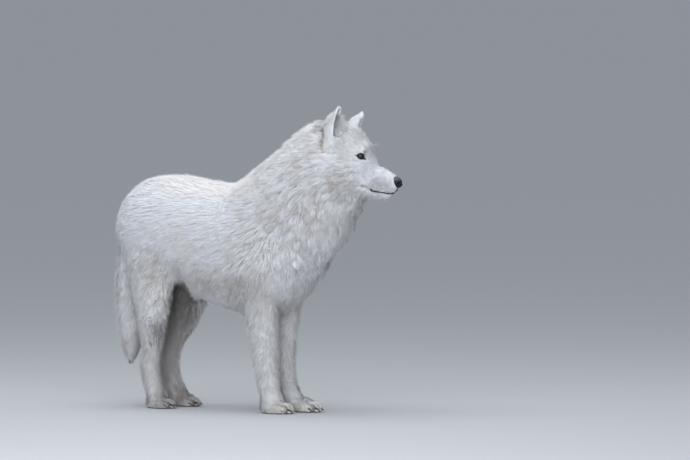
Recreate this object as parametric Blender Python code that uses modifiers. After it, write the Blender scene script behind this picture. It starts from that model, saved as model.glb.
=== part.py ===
"""Arctic wolf in its winter coat, standing on all four feet with its head raised, life size.

Metres. +Z is up, the nose points along +X and the wolf's left side is +Y. The solids are the
outer shape of the coat, out to its tips. The flesh is modelled whole, as overlapping lofts and
rounded forms that melt into one, and is then parted by thin cuts into the pieces that a person
would name. The tail, ears, eyes and nose pad are forms of their own, fitted into the flesh.
"""

import math

import bmesh
import bpy
from mathutils import Matrix, Vector

# ---- driving dimensions -------------------------------------------------------------------
GAP = 0.0004  # clearance between neighbouring solids
FUSE_VOXEL = 0.0045  # grain at which the forms melt together
FLESH_TRIANGLES = 3950  # faces left on the melted flesh before it is parted
WEIGHT_FACTOR = 0.0030  # how strongly the face's detail is kept when the mesh is thinned
TAIL_TRIANGLES = 360
RING_POINTS = 28  # points round a loft
STEPS = 4  # rings from one station of a loft to the next

STANCE = {  # sideways place of the legs
    "fore": {"right": -0.062, "left": 0.052},
    "hind": {"right": -0.064, "left": 0.060},
}
MIDDLE = {"fore": -0.005, "hind": -0.002}  # the plane between the legs of a pair
HEAD_TURN = math.radians(11)  # the head looks a little to the wolf's left
HEAD_AT = (0.484, 0.025)  # point between the eyes, about which the head turns
EYE_RADIUS = 0.0125

AHEAD = Vector((1, 0, 0))
LEFT = Vector((0, 1, 0))
UP = Vector((0, 0, 1))

# The barrel of the body, from the rump to the breast:
# (x, top, bottom, half width, height of the widest place)
TRUNK = [
    (-0.420, 0.585, 0.520, 0.040, 0.550),
    (-0.402, 0.652, 0.480, 0.085, 0.560),
    (-0.362, 0.696, 0.450, 0.110, 0.565),
    (-0.305, 0.724, 0.428, 0.126, 0.565),
    (-0.220, 0.733, 0.398, 0.130, 0.560),
    (-0.130, 0.726, 0.355, 0.131, 0.545),
    (-0.040, 0.712, 0.322, 0.140, 0.520),
    (0.050, 0.712, 0.308, 0.150, 0.505),
    (0.130, 0.720, 0.308, 0.154, 0.500),
    (0.200, 0.710, 0.325, 0.150, 0.495),
    (0.255, 0.675, 0.360, 0.132, 0.500),
    (0.300, 0.610, 0.410, 0.100, 0.505),
    (0.325, 0.560, 0.455, 0.055, 0.505),
]

# The neck with its ruff, from inside the shoulders to the back of the skull:
# (x, y, z, half width, reach to the nape, reach to the throat)
NECK = [
    (0.060, 0.000, 0.550, 0.110, 0.155, 0.190),
    (0.170, 0.000, 0.620, 0.136, 0.158, 0.222),
    (0.270, 0.005, 0.700, 0.137, 0.149, 0.216),
    (0.345, 0.012, 0.765, 0.128, 0.150, 0.176),
    (0.400, 0.018, 0.800, 0.112, 0.143, 0.134),
    (0.440, 0.022, 0.820, 0.080, 0.090, 0.090),
]
NECK_LEAN = math.radians(35.5)  # the neck's rings lean back by this much

# The shoulder blade's bulk on each side: (x, aside, up), half sizes
SHOULDER = ((0.120, 0.072, 0.565), (0.130, 0.072, 0.150))

# The head from the tip of the muzzle back, in its own frame:
# (ahead of the turning point, top, bottom, half width, height of the widest place)
HEAD = [
    (0.112, 0.738, 0.706, 0.014, 0.722),
    (0.103, 0.746, 0.697, 0.022, 0.720),
    (0.088, 0.755, 0.688, 0.027, 0.718),
    (0.070, 0.766, 0.679, 0.031, 0.716),
    (0.050, 0.779, 0.676, 0.035, 0.714),
    (0.034, 0.793, 0.677, 0.040, 0.716),
    (0.020, 0.812, 0.677, 0.046, 0.724),
    (0.008, 0.842, 0.676, 0.053, 0.736),
    (-0.010, 0.875, 0.674, 0.062, 0.750),
    (-0.030, 0.895, 0.670, 0.071, 0.762),
    (-0.055, 0.907, 0.665, 0.080, 0.772),
    (-0.085, 0.914, 0.665, 0.088, 0.778),
    (-0.115, 0.920, 0.672, 0.088, 0.785),
    (-0.145, 0.916, 0.700, 0.075, 0.795),
]

# Rounded forms on each side of the head: name, (ahead, aside, up), half sizes
HEAD_FORMS = [
    ("cheekbone", (-0.030, 0.042, 0.778), (0.045, 0.024, 0.026)),
    ("brow", (-0.007, 0.032, 0.826), (0.020, 0.018, 0.014)),
    ("upper_lip", (0.070, 0.016, 0.712), (0.030, 0.016, 0.020)),
    ("ruff", (-0.085, 0.060, 0.744), (0.072, 0.040, 0.076)),
]
NOSE_AT = (0.1040, 0.0, 0.7285)  # the nose pad
NOSE_SIZE = (0.0165, 0.0180, 0.0175)  # its half sizes
EYE_AT = (-0.004, 0.0385, 0.8075)

# Ears: middle of the base and the tip, ahead, aside and up in the head's frame
EAR = {
    "right": ((-0.092, 0.044, 0.846), (-0.053, 0.077, 0.957)),
    "left": ((-0.083, 0.044, 0.830), (-0.042, 0.081, 0.934)),
}
EAR_RADIUS = 0.053
EAR_BREADTH = 0.72  # the cup's breadth for each part of its depth
EAR_TIP_RADIUS = 0.0105
EAR_THICKNESS = 0.008
EAR_FACING = math.radians(18)  # the opening turns outward from straight ahead
EAR_WRAP = (math.radians(128), math.radians(75))  # half the wall's sweep, at base and tip

# Forelegs, from inside the shoulder to the foot: (x, z, half width, front, back)
FORELEG = {
    "right": [
        (0.130, 0.480, 0.050, 0.080, 0.080),
        (0.142, 0.390, 0.048, 0.068, 0.064),
        (0.150, 0.310, 0.043, 0.059, 0.059),
        (0.152, 0.260, 0.039, 0.052, 0.053),
        (0.156, 0.200, 0.036, 0.047, 0.047),
        (0.163, 0.140, 0.034, 0.042, 0.042),
        (0.171, 0.100, 0.033, 0.039, 0.039),
        (0.180, 0.060, 0.034, 0.038, 0.038),
        (0.190, 0.030, 0.036, 0.040, 0.042),
    ],
    "left": [
        (0.132, 0.480, 0.050, 0.080, 0.080),
        (0.146, 0.390, 0.048, 0.072, 0.064),
        (0.150, 0.310, 0.043, 0.059, 0.059),
        (0.146, 0.260, 0.039, 0.052, 0.053),
        (0.144, 0.200, 0.036, 0.046, 0.047),
        (0.149, 0.140, 0.034, 0.041, 0.042),
        (0.155, 0.100, 0.033, 0.038, 0.039),
        (0.168, 0.060, 0.034, 0.038, 0.038),
        (0.192, 0.030, 0.036, 0.042, 0.042),
    ],
}
# Hind legs, from the haunch over the stifle and the hock to the foot, in the same way. The
# right one stands almost straight; the left one is more bent, its stifle further forward.
HIND_LEG = {
    "right": [
        (-0.290, 0.600, 0.045, 0.100, 0.095),
        (-0.284, 0.500, 0.056, 0.095, 0.095),
        (-0.275, 0.420, 0.056, 0.080, 0.084),
        (-0.271, 0.370, 0.053, 0.070, 0.072),
        (-0.271, 0.295, 0.045, 0.055, 0.056),
        (-0.272, 0.240, 0.037, 0.042, 0.042),
        (-0.270, 0.195, 0.029, 0.031, 0.030),
        (-0.277, 0.160, 0.028, 0.029, 0.030),
        (-0.282, 0.138, 0.028, 0.029, 0.029),
        (-0.279, 0.110, 0.028, 0.029, 0.029),
        (-0.271, 0.075, 0.028, 0.029, 0.029),
        (-0.260, 0.045, 0.030, 0.031, 0.031),
        (-0.250, 0.025, 0.032, 0.034, 0.034),
    ],
    "left": [
        (-0.285, 0.600, 0.045, 0.100, 0.100),
        (-0.265, 0.500, 0.056, 0.100, 0.110),
        (-0.240, 0.420, 0.056, 0.085, 0.100),
        (-0.226, 0.360, 0.053, 0.074, 0.086),
        (-0.224, 0.310, 0.046, 0.058, 0.074),
        (-0.234, 0.276, 0.042, 0.050, 0.065),
        (-0.251, 0.242, 0.037, 0.042, 0.052),
        (-0.277, 0.203, 0.031, 0.034, 0.036),
        (-0.288, 0.176, 0.029, 0.031, 0.031),
        (-0.297, 0.147, 0.029, 0.031, 0.032),
        (-0.292, 0.110, 0.028, 0.030, 0.031),
        (-0.280, 0.075, 0.028, 0.029, 0.030),
        (-0.262, 0.045, 0.030, 0.031, 0.031),
        (-0.250, 0.025, 0.032, 0.034, 0.034),
    ],
}
# The tail, from inside the rump to its tip, in the same way
TAIL = [
    (-0.368, 0.620, 0.030, 0.022, 0.026),
    (-0.382, 0.575, 0.042, 0.036, 0.034),
    (-0.394, 0.500, 0.050, 0.044, 0.040),
    (-0.398, 0.410, 0.054, 0.050, 0.047),
    (-0.396, 0.320, 0.054, 0.052, 0.050),
    (-0.394, 0.260, 0.048, 0.046, 0.045),
    (-0.393, 0.215, 0.036, 0.034, 0.034),
    (-0.394, 0.175, 0.020, 0.018, 0.019),
    (-0.396, 0.150, 0.007, 0.006, 0.007),
]

# Feet: where the middle of each paw stands, and the paws' half length, half width and height
PAW_X = {
    "fore": {"right": 0.204, "left": 0.229},
    "hind": {"right": -0.240, "left": -0.234},
}
PAW_SIZE = {"fore": (0.062, 0.042, 0.052), "hind": (0.055, 0.038, 0.046)}
SOLE_SINK = 0.005  # how deep the rounded pads reach below the floor, to be cut flat
# Toes from the inner to the outer one: lane, reach ahead for each paw's half length, and rise
TOES = ((-1.5, 0.52, 0.86), (-0.5, 0.80, 1.0), (0.5, 0.82, 1.0), (1.5, 0.50, 0.86))
TOE_SPACING = 0.46  # from lane to lane, for each half width of the paw
CLAW_LENGTH = 0.020
CLAW_RADIUS = 0.0036
CLAW_HEIGHT = 0.0125
CLAW_SLOPE = math.radians(18)

# Sleeves that mark off a leg from the trunk: (z, rear, front, inner side, outer side)
FORE_SLEEVE = [
    (-0.050, 0.000, 0.320, 0.000, 0.25),
    (0.285, 0.020, 0.290, 0.000, 0.25),
    (0.330, 0.060, 0.245, 0.036, 0.25),
    (0.400, 0.066, 0.222, 0.052, 0.25),
    (0.450, 0.090, 0.196, 0.062, 0.25),
]
HIND_SLEEVE = [
    (-0.050, -0.460, -0.080, 0.000, 0.25),
    (0.350, -0.440, -0.120, 0.000, 0.25),
    (0.400, -0.400, -0.170, 0.034, 0.25),
    (0.480, -0.375, -0.190, 0.056, 0.25),
    (0.560, -0.350, -0.220, 0.074, 0.25),
]

HEAD_PLANE = ((0.345, 0.910), (0.452, 0.655))  # nape and throat ends of the cut behind the head
NECK_PLANE = ((0.085, 0.740), (0.335, 0.440))  # withers and breast ends of the cut below the neck
THIGH_CUT = 0.290  # height at which the thigh ends, just under the stifle
WRIST_CUT = 0.068
ANKLE_CUT = 0.062

COLOURS = {
    "coat": (0.78, 0.77, 0.75, 0.85),
    "tail": (0.75, 0.71, 0.64, 0.85),
    "ear": (0.76, 0.74, 0.71, 0.85),
    "eye": (0.06, 0.035, 0.015, 0.08),
    "nose": (0.02, 0.02, 0.022, 0.45),
}


# ---- tools for making and fitting forms -----------------------------------------------------
def clear_scene():
    for item in list(bpy.data.objects):
        bpy.data.objects.remove(item, do_unlink=True)


def material(name):
    red, green, blue, roughness = COLOURS[name]
    made = bpy.data.materials.get(name) or bpy.data.materials.new(name)
    made.use_nodes = True
    shader = made.node_tree.nodes["Principled BSDF"]
    shader.inputs["Base Color"].default_value = (red, green, blue, 1.0)
    shader.inputs["Roughness"].default_value = roughness
    shader.inputs["Metallic"].default_value = 0.0
    return made


def new_object(name, mesh):
    made = bpy.data.objects.new(name, mesh)
    bpy.context.scene.collection.objects.link(made)
    return made


def object_from_bmesh(name, shape):
    mesh = bpy.data.meshes.new(name)
    bmesh.ops.recalc_face_normals(shape, faces=shape.faces)
    shape.to_mesh(mesh)
    shape.free()
    return new_object(name, mesh)


def between(before, start, end, after, t):
    """One value on a smooth curve that passes through start at t=0 and end at t=1."""
    slope_start = (end - before) / 2
    slope_end = (after - start) / 2
    return (
        start * (2 * t**3 - 3 * t**2 + 1)
        + slope_start * (t**3 - 2 * t**2 + t)
        + end * (3 * t**2 - 2 * t**3)
        + slope_end * (t**3 - t**2)
    )


def smooth_stations(stations):
    """Put rings between the stations, so that every size changes smoothly along the loft."""
    last = len(stations) - 1
    rings = []
    for index in range(last):
        around = (stations[max(index - 1, 0)], stations[index])
        beyond = (stations[index + 1], stations[min(index + 2, last)])
        for step in range(STEPS):
            sizes = zip(around[0], around[1], beyond[0], beyond[1])
            rings.append(tuple(between(*values, step / STEPS) for values in sizes))
    rings.append(stations[last])
    return rings


def ring(centre, side, up, half_width, reach_up, reach_down):
    """An egg-shaped ring: it reaches further up than down, or the other way round."""
    points = []
    for index in range(RING_POINTS):
        angle = math.tau * index / RING_POINTS
        reach = reach_up if math.sin(angle) > 0 else reach_down
        points.append(centre + side * half_width * math.cos(angle) + up * reach * math.sin(angle))
    return points


def loft(name, rings):
    """Skin a row of rings, with a cap at each end."""
    shape = bmesh.new()
    rows = [[shape.verts.new(point) for point in points] for points in rings]
    for row, following in zip(rows, rows[1:]):
        for index in range(len(row)):
            turn = (index + 1) % len(row)
            shape.faces.new((row[index], row[turn], following[turn], following[index]))
    shape.faces.new(rows[0])
    shape.faces.new(rows[-1])
    return object_from_bmesh(name, shape)


def upright_loft(name, stations, aside):
    """A leg or the tail: level rings from (x, z, half width, front, back)."""
    rings = []
    for x, z, half_width, front, back in smooth_stations(stations):
        centre = Vector((x, aside, z))
        rings.append(ring(centre, LEFT, AHEAD, half_width, front, back))
    return loft(name, rings)


def egg(name, centre, half_sizes, turn=None, segments=20):
    """A rounded form with the given half sizes, turned about its middle."""
    shape = bmesh.new()
    bmesh.ops.create_uvsphere(shape, u_segments=segments, v_segments=segments // 2, radius=1.0)
    place = Matrix.Translation(Vector(centre))
    if turn is not None:
        place = place @ turn
    bmesh.ops.transform(shape, matrix=place @ Matrix.Diagonal((*half_sizes, 1.0)), verts=shape.verts)
    return object_from_bmesh(name, shape)


def settle(item):
    """Replace an object's mesh by what its modifiers make of it."""
    bpy.context.view_layer.update()
    shaped = item.evaluated_get(bpy.context.evaluated_depsgraph_get())
    old = item.data
    item.data = bpy.data.meshes.new_from_object(shaped)
    item.modifiers.clear()
    bpy.data.meshes.remove(old)


def face_outward(item):
    shape = bmesh.new()
    shape.from_mesh(item.data)
    bmesh.ops.recalc_face_normals(shape, faces=shape.faces)
    shape.to_mesh(item.data)
    shape.free()


def melt(name, forms):
    """Join overlapping forms into one body with soft creases."""
    shape = bmesh.new()
    for form in forms:
        shape.from_mesh(form.data)
        bpy.data.objects.remove(form, do_unlink=True)
    item = object_from_bmesh(name, shape)
    remesh = item.modifiers.new("melt", "REMESH")
    remesh.mode = "VOXEL"
    remesh.voxel_size = FUSE_VOXEL
    settle(item)
    return item


def weigh(item, weight):
    """Store on every point the weight that a function gives for its place."""
    group = item.vertex_groups.new(name="weight")
    for point in item.data.vertices:
        group.add([point.index], weight(point.co), "REPLACE")
    return group.name


def soften(item, rounds, weight=None):
    smooth = item.modifiers.new("soften", "SMOOTH")
    smooth.factor = 0.5
    smooth.iterations = rounds
    if weight is not None:
        smooth.vertex_group = weigh(item, weight)
    settle(item)
    item.vertex_groups.clear()


def thin_out(item, triangles, weight=None):
    """Leave about this many triangles. The lower the weight, the more detail stays."""
    count = sum(len(face.vertices) - 2 for face in item.data.polygons)
    decimate = item.modifiers.new("thin_out", "DECIMATE")
    decimate.ratio = triangles / count
    if weight is not None:
        decimate.vertex_group = weigh(item, weight)
        decimate.vertex_group_factor = WEIGHT_FACTOR
    settle(item)
    item.vertex_groups.clear()


def combine(item, other, operation, keep_other=False):
    """Cut, join or intersect one solid with another."""
    boolean = item.modifiers.new(operation.lower(), "BOOLEAN")
    boolean.operation = operation
    boolean.solver = "EXACT"
    boolean.object = other
    settle(item)
    if not keep_other:
        bpy.data.objects.remove(other, do_unlink=True)


def copy_of(item, name):
    return new_object(name, item.data.copy())


def grown(item, by=GAP):
    """A copy that reaches further out all over, to cut a snug place for the original."""
    bigger = copy_of(item, item.name + "_room")
    displace = bigger.modifiers.new("grow", "DISPLACE")
    displace.strength = by
    displace.mid_level = 0.0
    settle(bigger)
    return bigger



# ---- the head's own frame -------------------------------------------------------------------
def head_point(ahead, aside, up):
    """A place given ahead of the turning point, to the wolf's left and above the floor."""
    x = HEAD_AT[0] + ahead * math.cos(HEAD_TURN) - aside * math.sin(HEAD_TURN)
    y = HEAD_AT[1] + ahead * math.sin(HEAD_TURN) + aside * math.cos(HEAD_TURN)
    return Vector((x, y, up))


def head_turn():
    return Matrix.Rotation(HEAD_TURN, 4, "Z")


# ---- the flesh ------------------------------------------------------------------------------
def trunk_form():
    rings = []
    for x, top, bottom, half_width, widest in smooth_stations(TRUNK):
        centre = Vector((x, 0, widest))
        reach_up = top - widest
        reach_down = widest - bottom
        rings.append(ring(centre, LEFT, UP, half_width, reach_up, reach_down))
    return loft("barrel", rings)


def neck_form():
    up = Vector((-math.sin(NECK_LEAN), 0, math.cos(NECK_LEAN)))
    rings = []
    for x, y, z, half_width, nape, throat in smooth_stations(NECK):
        rings.append(ring(Vector((x, y, z)), LEFT, up, half_width, nape, throat))
    return loft("neck_form", rings)


def head_forms():
    side = head_turn().to_3x3() @ LEFT
    rings = []
    for ahead, top, bottom, half_width, widest in smooth_stations(HEAD):
        centre = head_point(ahead, 0, widest)
        rings.append(ring(centre, side, UP, half_width, top - widest, widest - bottom))
    forms = [loft("skull", rings)]
    for name, (ahead, aside, up), half_sizes in HEAD_FORMS:
        for side_sign in (-1, 1):
            place = head_point(ahead, side_sign * aside, up)
            forms.append(egg(name, place, half_sizes, head_turn()))
    return forms


def paw_forms(pair, side):
    """A pad with four toes, the two middle ones reaching further forward."""
    x = PAW_X[pair][side]
    y = STANCE[pair][side]
    length, width, height = PAW_SIZE[pair]
    outward = -1 if side == "right" else 1
    pad_sizes = (0.80 * length, 0.92 * width, 0.60 * height)
    forms = [egg("pad", (x - 0.18 * length, y, 0.44 * height), pad_sizes)]
    for lane, reach, rise in TOES:
        toe_x = x + (reach - 0.28) * length
        toe_y = y + outward * lane * TOE_SPACING * width
        toe_sizes = (0.46 * length, 0.31 * width, 0.46 * height * rise)
        forms.append(egg("toe", (toe_x, toe_y, 0.36 * height * rise), toe_sizes))
    for form in forms:
        for point in form.data.vertices:
            point.co.z -= SOLE_SINK
    return forms


def flesh():
    forms = [trunk_form(), neck_form()] + head_forms()
    (shoulder_x, shoulder_aside, shoulder_up), shoulder_sizes = SHOULDER
    for side in ("right", "left"):
        outward = -1 if side == "right" else 1
        forms.append(egg("shoulder", (shoulder_x, outward * shoulder_aside, shoulder_up), shoulder_sizes))
        forms.append(upright_loft("foreleg", FORELEG[side], STANCE["fore"][side]))
        forms.append(upright_loft("hind_leg", HIND_LEG[side], STANCE["hind"][side]))
        forms += paw_forms("fore", side)
        forms += paw_forms("hind", side)
    whole = melt("flesh", forms)
    soften(whole, 8)
    soften(whole, 170, bulk)
    thin_out(whole, FLESH_TRIANGLES, lambda place: 0.3 if is_head(place) else 1.0)
    return whole


def is_head(place):
    return place.x > HEAD_AT[0] - 0.10 and place.z > 0.62


def bulk(place):
    """How much of the strong softening a place gets: all on the trunk, none on head and legs."""
    above_legs = (place.z - 0.34) / 0.06
    behind_head = (0.435 - place.x) / 0.05
    return min(max(min(above_legs, behind_head), 0.0), 1.0)


# ---- pieces of their own --------------------------------------------------------------------
def tail_form():
    tail = upright_loft("tail", TAIL, -0.004)
    thin_out(tail, TAIL_TRIANGLES)
    return tail


def eye_form(side):
    outward = -1 if side == "right" else 1
    ahead, aside, up = EYE_AT
    return egg("eye_" + side, head_point(ahead, outward * aside, up), (EYE_RADIUS,) * 3, segments=12)


def nose_form():
    return egg("nose", head_point(*NOSE_AT), NOSE_SIZE, head_turn(), segments=14)


def ear_form(side):
    """A cupped wall round the back of the ear, closing towards a rounded tip."""
    outward = -1 if side == "right" else 1
    base, tip = (Vector((ahead, outward * aside, up)) for ahead, aside, up in EAR[side])
    facing = Vector((math.cos(EAR_FACING), outward * math.sin(EAR_FACING), 0))
    rise = (tip - base).normalized()
    facing = (facing - rise * facing.dot(rise)).normalized()
    across = rise.cross(facing)
    rows = 8
    columns = 10
    shape = bmesh.new()
    grid = []
    for row in range(rows):
        t = row / (rows - 1)
        radius = EAR_TIP_RADIUS + (EAR_RADIUS - EAR_TIP_RADIUS) * (1 - t)
        wrap = EAR_WRAP[0] + (EAR_WRAP[1] - EAR_WRAP[0]) * t
        middle = base + (tip - base) * t
        line = []
        for column in range(columns):
            angle = wrap * (2 * column / (columns - 1) - 1)
            aside = across * radius * EAR_BREADTH * math.sin(angle)
            place = middle - facing * radius * math.cos(angle) + aside
            line.append(shape.verts.new(head_point(*place)))
        grid.append(line)
    for line, following in zip(grid, grid[1:]):
        for column in range(columns - 1):
            shape.faces.new((line[column], line[column + 1], following[column + 1], following[column]))
    ear = object_from_bmesh("ear_" + side, shape)
    wall = ear.modifiers.new("wall", "SOLIDIFY")
    wall.thickness = EAR_THICKNESS
    wall.offset = 0.0
    settle(ear)
    face_outward(ear)
    return ear


def claws(pair, side):
    x = PAW_X[pair][side]
    y = STANCE[pair][side]
    length, width, _height = PAW_SIZE[pair]
    outward = -1 if side == "right" else 1
    made = []
    slope = Matrix.Rotation(CLAW_SLOPE, 4, "Y")
    sizes = (CLAW_LENGTH / 2, CLAW_RADIUS, CLAW_RADIUS * 1.2)
    for lane, reach, _rise in TOES:
        claw_x = x + (reach + 0.12) * length
        claw_y = y + outward * lane * TOE_SPACING * width
        made.append(egg("claw", (claw_x, claw_y, CLAW_HEIGHT), sizes, slope, segments=8))
    return made


# ---- parting the flesh ----------------------------------------------------------------------
def sleeve(pair, side, stations):
    """A closed form round one leg, which marks where the leg ends and the trunk begins."""
    outward = -1 if side == "right" else 1
    rings = []
    for z, rear, front, inner, outer in stations:
        near = MIDDLE[pair] + outward * (inner + GAP)
        far = outward * outer
        corners = ((rear, near), (front, near), (front, far), (rear, far))
        rings.append([Vector((x, y, z)) for x, y in corners])
    return loft("sleeve", rings)


def slab(name, start, end, towards):
    """A big block whose one face is the plane across the body from start to end, given as (x, z)."""
    begin = Vector((start[0], 0, start[1]))
    finish_point = Vector((end[0], 0, end[1]))
    along = (finish_point - begin).normalized()
    normal = LEFT.cross(along)
    if normal.dot(towards) < 0:
        normal.negate()
    middle = (begin + finish_point) / 2
    shape = bmesh.new()
    bmesh.ops.create_cube(shape, size=2.0)
    frame = Matrix((along, LEFT, normal)).transposed().to_4x4()
    bmesh.ops.transform(shape, matrix=Matrix.Translation(middle + normal) @ frame, verts=shape.verts)
    return object_from_bmesh(name, shape)


def part_off(whole, region, name):
    """Take the part of the flesh inside the region as a piece of its own, with a clearance."""
    piece = copy_of(whole, name)
    combine(piece, region, "INTERSECT", keep_other=True)
    room = grown(region)
    combine(whole, room, "DIFFERENCE")
    bpy.data.objects.remove(region, do_unlink=True)
    return piece


def fit_into(whole, piece):
    """Make a snug place in the flesh for a piece that is a form of its own."""
    combine(whole, grown(piece), "DIFFERENCE")


def finish(item, name, colour, smooth=True):
    item.name = name
    item.data.name = name
    item.data.materials.clear()
    item.data.materials.append(material(colour))
    if smooth:
        item.data.shade_smooth()
    return item


def centre_on_floor(pieces):
    """Put the origin on the floor, under the middle of the wolf's box."""
    places = [point.co for piece in pieces for point in piece.data.vertices]
    lowest = Vector([min(place[axis] for place in places) for axis in range(3)])
    highest = Vector([max(place[axis] for place in places) for axis in range(3)])
    middle = (lowest + highest) / 2
    shift = Matrix.Translation((-middle.x, -middle.y, 0))
    for piece in pieces:
        piece.data.transform(shift)


def build_wolf():
    clear_scene()
    wolf = bpy.data.collections.new("arctic_wolf")
    bpy.context.scene.collection.children.link(wolf)
    body = flesh()
    combine(body, slab("above_floor", (-1, 0), (1, 0), UP), "INTERSECT")
    pieces = []
    for side in ("right", "left"):
        ear = ear_form(side)
        combine(ear, grown(body), "DIFFERENCE")
        pieces.append(finish(ear, "ear_" + side, "ear"))

    tail = tail_form()
    fit_into(body, tail)
    pieces.append(finish(tail, "tail", "tail"))

    for side in ("right", "left"):
        front_leg = part_off(body, sleeve("fore", side, FORE_SLEEVE), "front_leg_" + side)
        below_wrist = slab("below_wrist", (-1, WRIST_CUT), (1, WRIST_CUT), -UP)
        front_paw = part_off(front_leg, below_wrist, "front_paw_" + side)
        for claw in claws("fore", side):
            combine(front_paw, claw, "UNION")
        thigh = part_off(body, sleeve("hind", side, HIND_SLEEVE), "hind_thigh_" + side)
        below_stifle = slab("below_stifle", (-1, THIGH_CUT), (1, THIGH_CUT), -UP)
        hind_leg = part_off(thigh, below_stifle, "hind_leg_" + side)
        below_ankle = slab("below_ankle", (-1, ANKLE_CUT), (1, ANKLE_CUT), -UP)
        hind_paw = part_off(hind_leg, below_ankle, "hind_paw_" + side)
        for claw in claws("hind", side):
            combine(hind_paw, claw, "UNION")
        for piece in (front_leg, front_paw, thigh, hind_leg, hind_paw):
            pieces.append(finish(piece, piece.name, "coat"))

    head = part_off(body, slab("ahead_of_nape", *HEAD_PLANE, AHEAD), "head")
    neck = part_off(body, slab("ahead_of_withers", *NECK_PLANE, AHEAD), "neck")
    nose = nose_form()
    fit_into(head, nose)
    pieces.append(finish(nose, "nose", "nose"))
    for side in ("right", "left"):
        eye = eye_form(side)
        fit_into(head, eye)
        pieces.append(finish(eye, "eye_" + side, "eye"))
    pieces.append(finish(head, "head", "coat"))
    pieces.append(finish(neck, "neck", "coat"))
    pieces.append(finish(body, "trunk", "coat"))
    centre_on_floor(pieces)
    for piece in pieces:
        bpy.context.scene.collection.objects.unlink(piece)
        wolf.objects.link(piece)


build_wolf()
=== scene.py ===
"""Arctic wolf in its winter coat, life size, finished as a museum would finish a still model.

One skin covers the whole animal. The coat stands on it as fine mesh tufts, combed the way the
hair of a wolf lies. Eyes, nose leather, lips, claws and whiskers are pieces of their own.
"""

import math

import bmesh
import bpy
import numpy as np
from mathutils import Matrix, Vector
from mathutils.bvhtree import BVHTree
from mathutils.kdtree import KDTree


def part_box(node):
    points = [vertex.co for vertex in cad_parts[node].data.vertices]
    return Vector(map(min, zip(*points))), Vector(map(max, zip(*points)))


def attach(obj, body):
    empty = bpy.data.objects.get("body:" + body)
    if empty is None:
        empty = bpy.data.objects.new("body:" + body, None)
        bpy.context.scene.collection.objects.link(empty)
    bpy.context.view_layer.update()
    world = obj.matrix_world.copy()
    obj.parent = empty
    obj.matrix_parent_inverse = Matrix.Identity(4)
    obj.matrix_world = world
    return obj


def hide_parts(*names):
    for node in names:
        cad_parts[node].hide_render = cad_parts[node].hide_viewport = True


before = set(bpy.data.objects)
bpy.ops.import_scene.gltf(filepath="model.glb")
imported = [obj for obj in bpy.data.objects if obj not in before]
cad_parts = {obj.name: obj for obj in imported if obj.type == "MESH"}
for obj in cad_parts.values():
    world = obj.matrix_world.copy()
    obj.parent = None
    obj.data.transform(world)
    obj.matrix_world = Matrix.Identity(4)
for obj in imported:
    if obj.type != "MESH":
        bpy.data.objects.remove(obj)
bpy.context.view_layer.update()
bpy.ops.object.select_all(action="DESELECT")


# ---- Studio ---------------------------------------------------------------------------------
# A plain pale floor under a large soft box, with a wider, stronger one farther off in front of
# the wolf, and a pale surround that is lighter above. The camera looks at the wolf's right side,
# from a little ahead of it.
LOOK_AT = Vector((0.2037, 0.1972, 0.5632))
VIEW_AZIMUTH = math.radians(35)
VIEW_ELEVATION = math.radians(3)
VIEW_DISTANCE = 40.0
VIEW_WIDTH = 2.156  # what the camera takes in from side to side, at the wolf
FLOOR_GREY = (0.45, 0.46, 0.47, 1)
SKY_LOW = (0.31, 0.325, 0.355, 1)
SKY_HIGH = (0.60, 0.63, 0.69, 1)
SKY_TOP = 0.7  # height, from 0 to 1, from which the surround has its upper colour

towards_camera = Vector((
    math.sin(VIEW_AZIMUTH) * math.cos(VIEW_ELEVATION),
    -math.cos(VIEW_AZIMUTH) * math.cos(VIEW_ELEVATION),
    math.sin(VIEW_ELEVATION),
))
camera_data = bpy.data.cameras.new("camera")
camera_data.sensor_width = 36.0
camera_data.lens = camera_data.sensor_width * VIEW_DISTANCE / VIEW_WIDTH
camera = bpy.data.objects.new("camera", camera_data)
camera.location = LOOK_AT + towards_camera * VIEW_DISTANCE
camera.rotation_euler = towards_camera.to_track_quat("Z", "Y").to_euler()
bpy.context.scene.collection.objects.link(camera)
bpy.context.scene.camera = camera

bpy.ops.mesh.primitive_circle_add(vertices=96, radius=80.0, fill_type="NGON")
floor = bpy.context.object
floor.name = "floor"
floor_paint = bpy.data.materials.new("pale_floor")
floor_paint.use_nodes = True
floor_shader = floor_paint.node_tree.nodes["Principled BSDF"]
floor_shader.inputs["Base Color"].default_value = FLOOR_GREY
floor_shader.inputs["Roughness"].default_value = 0.9
floor.data.materials.append(floor_paint)


def soft_box(name, place, aim, size, power, tint):
    """A square area light that points at a place."""
    lamp = bpy.data.lights.new(name, "AREA")
    lamp.size = size
    lamp.energy = power
    lamp.color = tint
    box = bpy.data.objects.new(name, lamp)
    box.location = place
    box.rotation_euler = (Vector(place) - Vector(aim)).to_track_quat("Z", "Y").to_euler()
    bpy.context.scene.collection.objects.link(box)


soft_box(
    "overhead_box",
    place=(-0.2, -0.6, 3.8),
    aim=(0.0, 0.0, 0.5),
    size=3.4,
    power=84.0,
    tint=(0.96, 0.98, 1.0),
)
soft_box(
    "front_box",
    place=(2.2, -4.1, 1.9),
    aim=(0.0, 0.0, 0.4),
    size=4.0,
    power=178.0,
    tint=(0.94, 0.97, 1.0),
)

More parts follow.
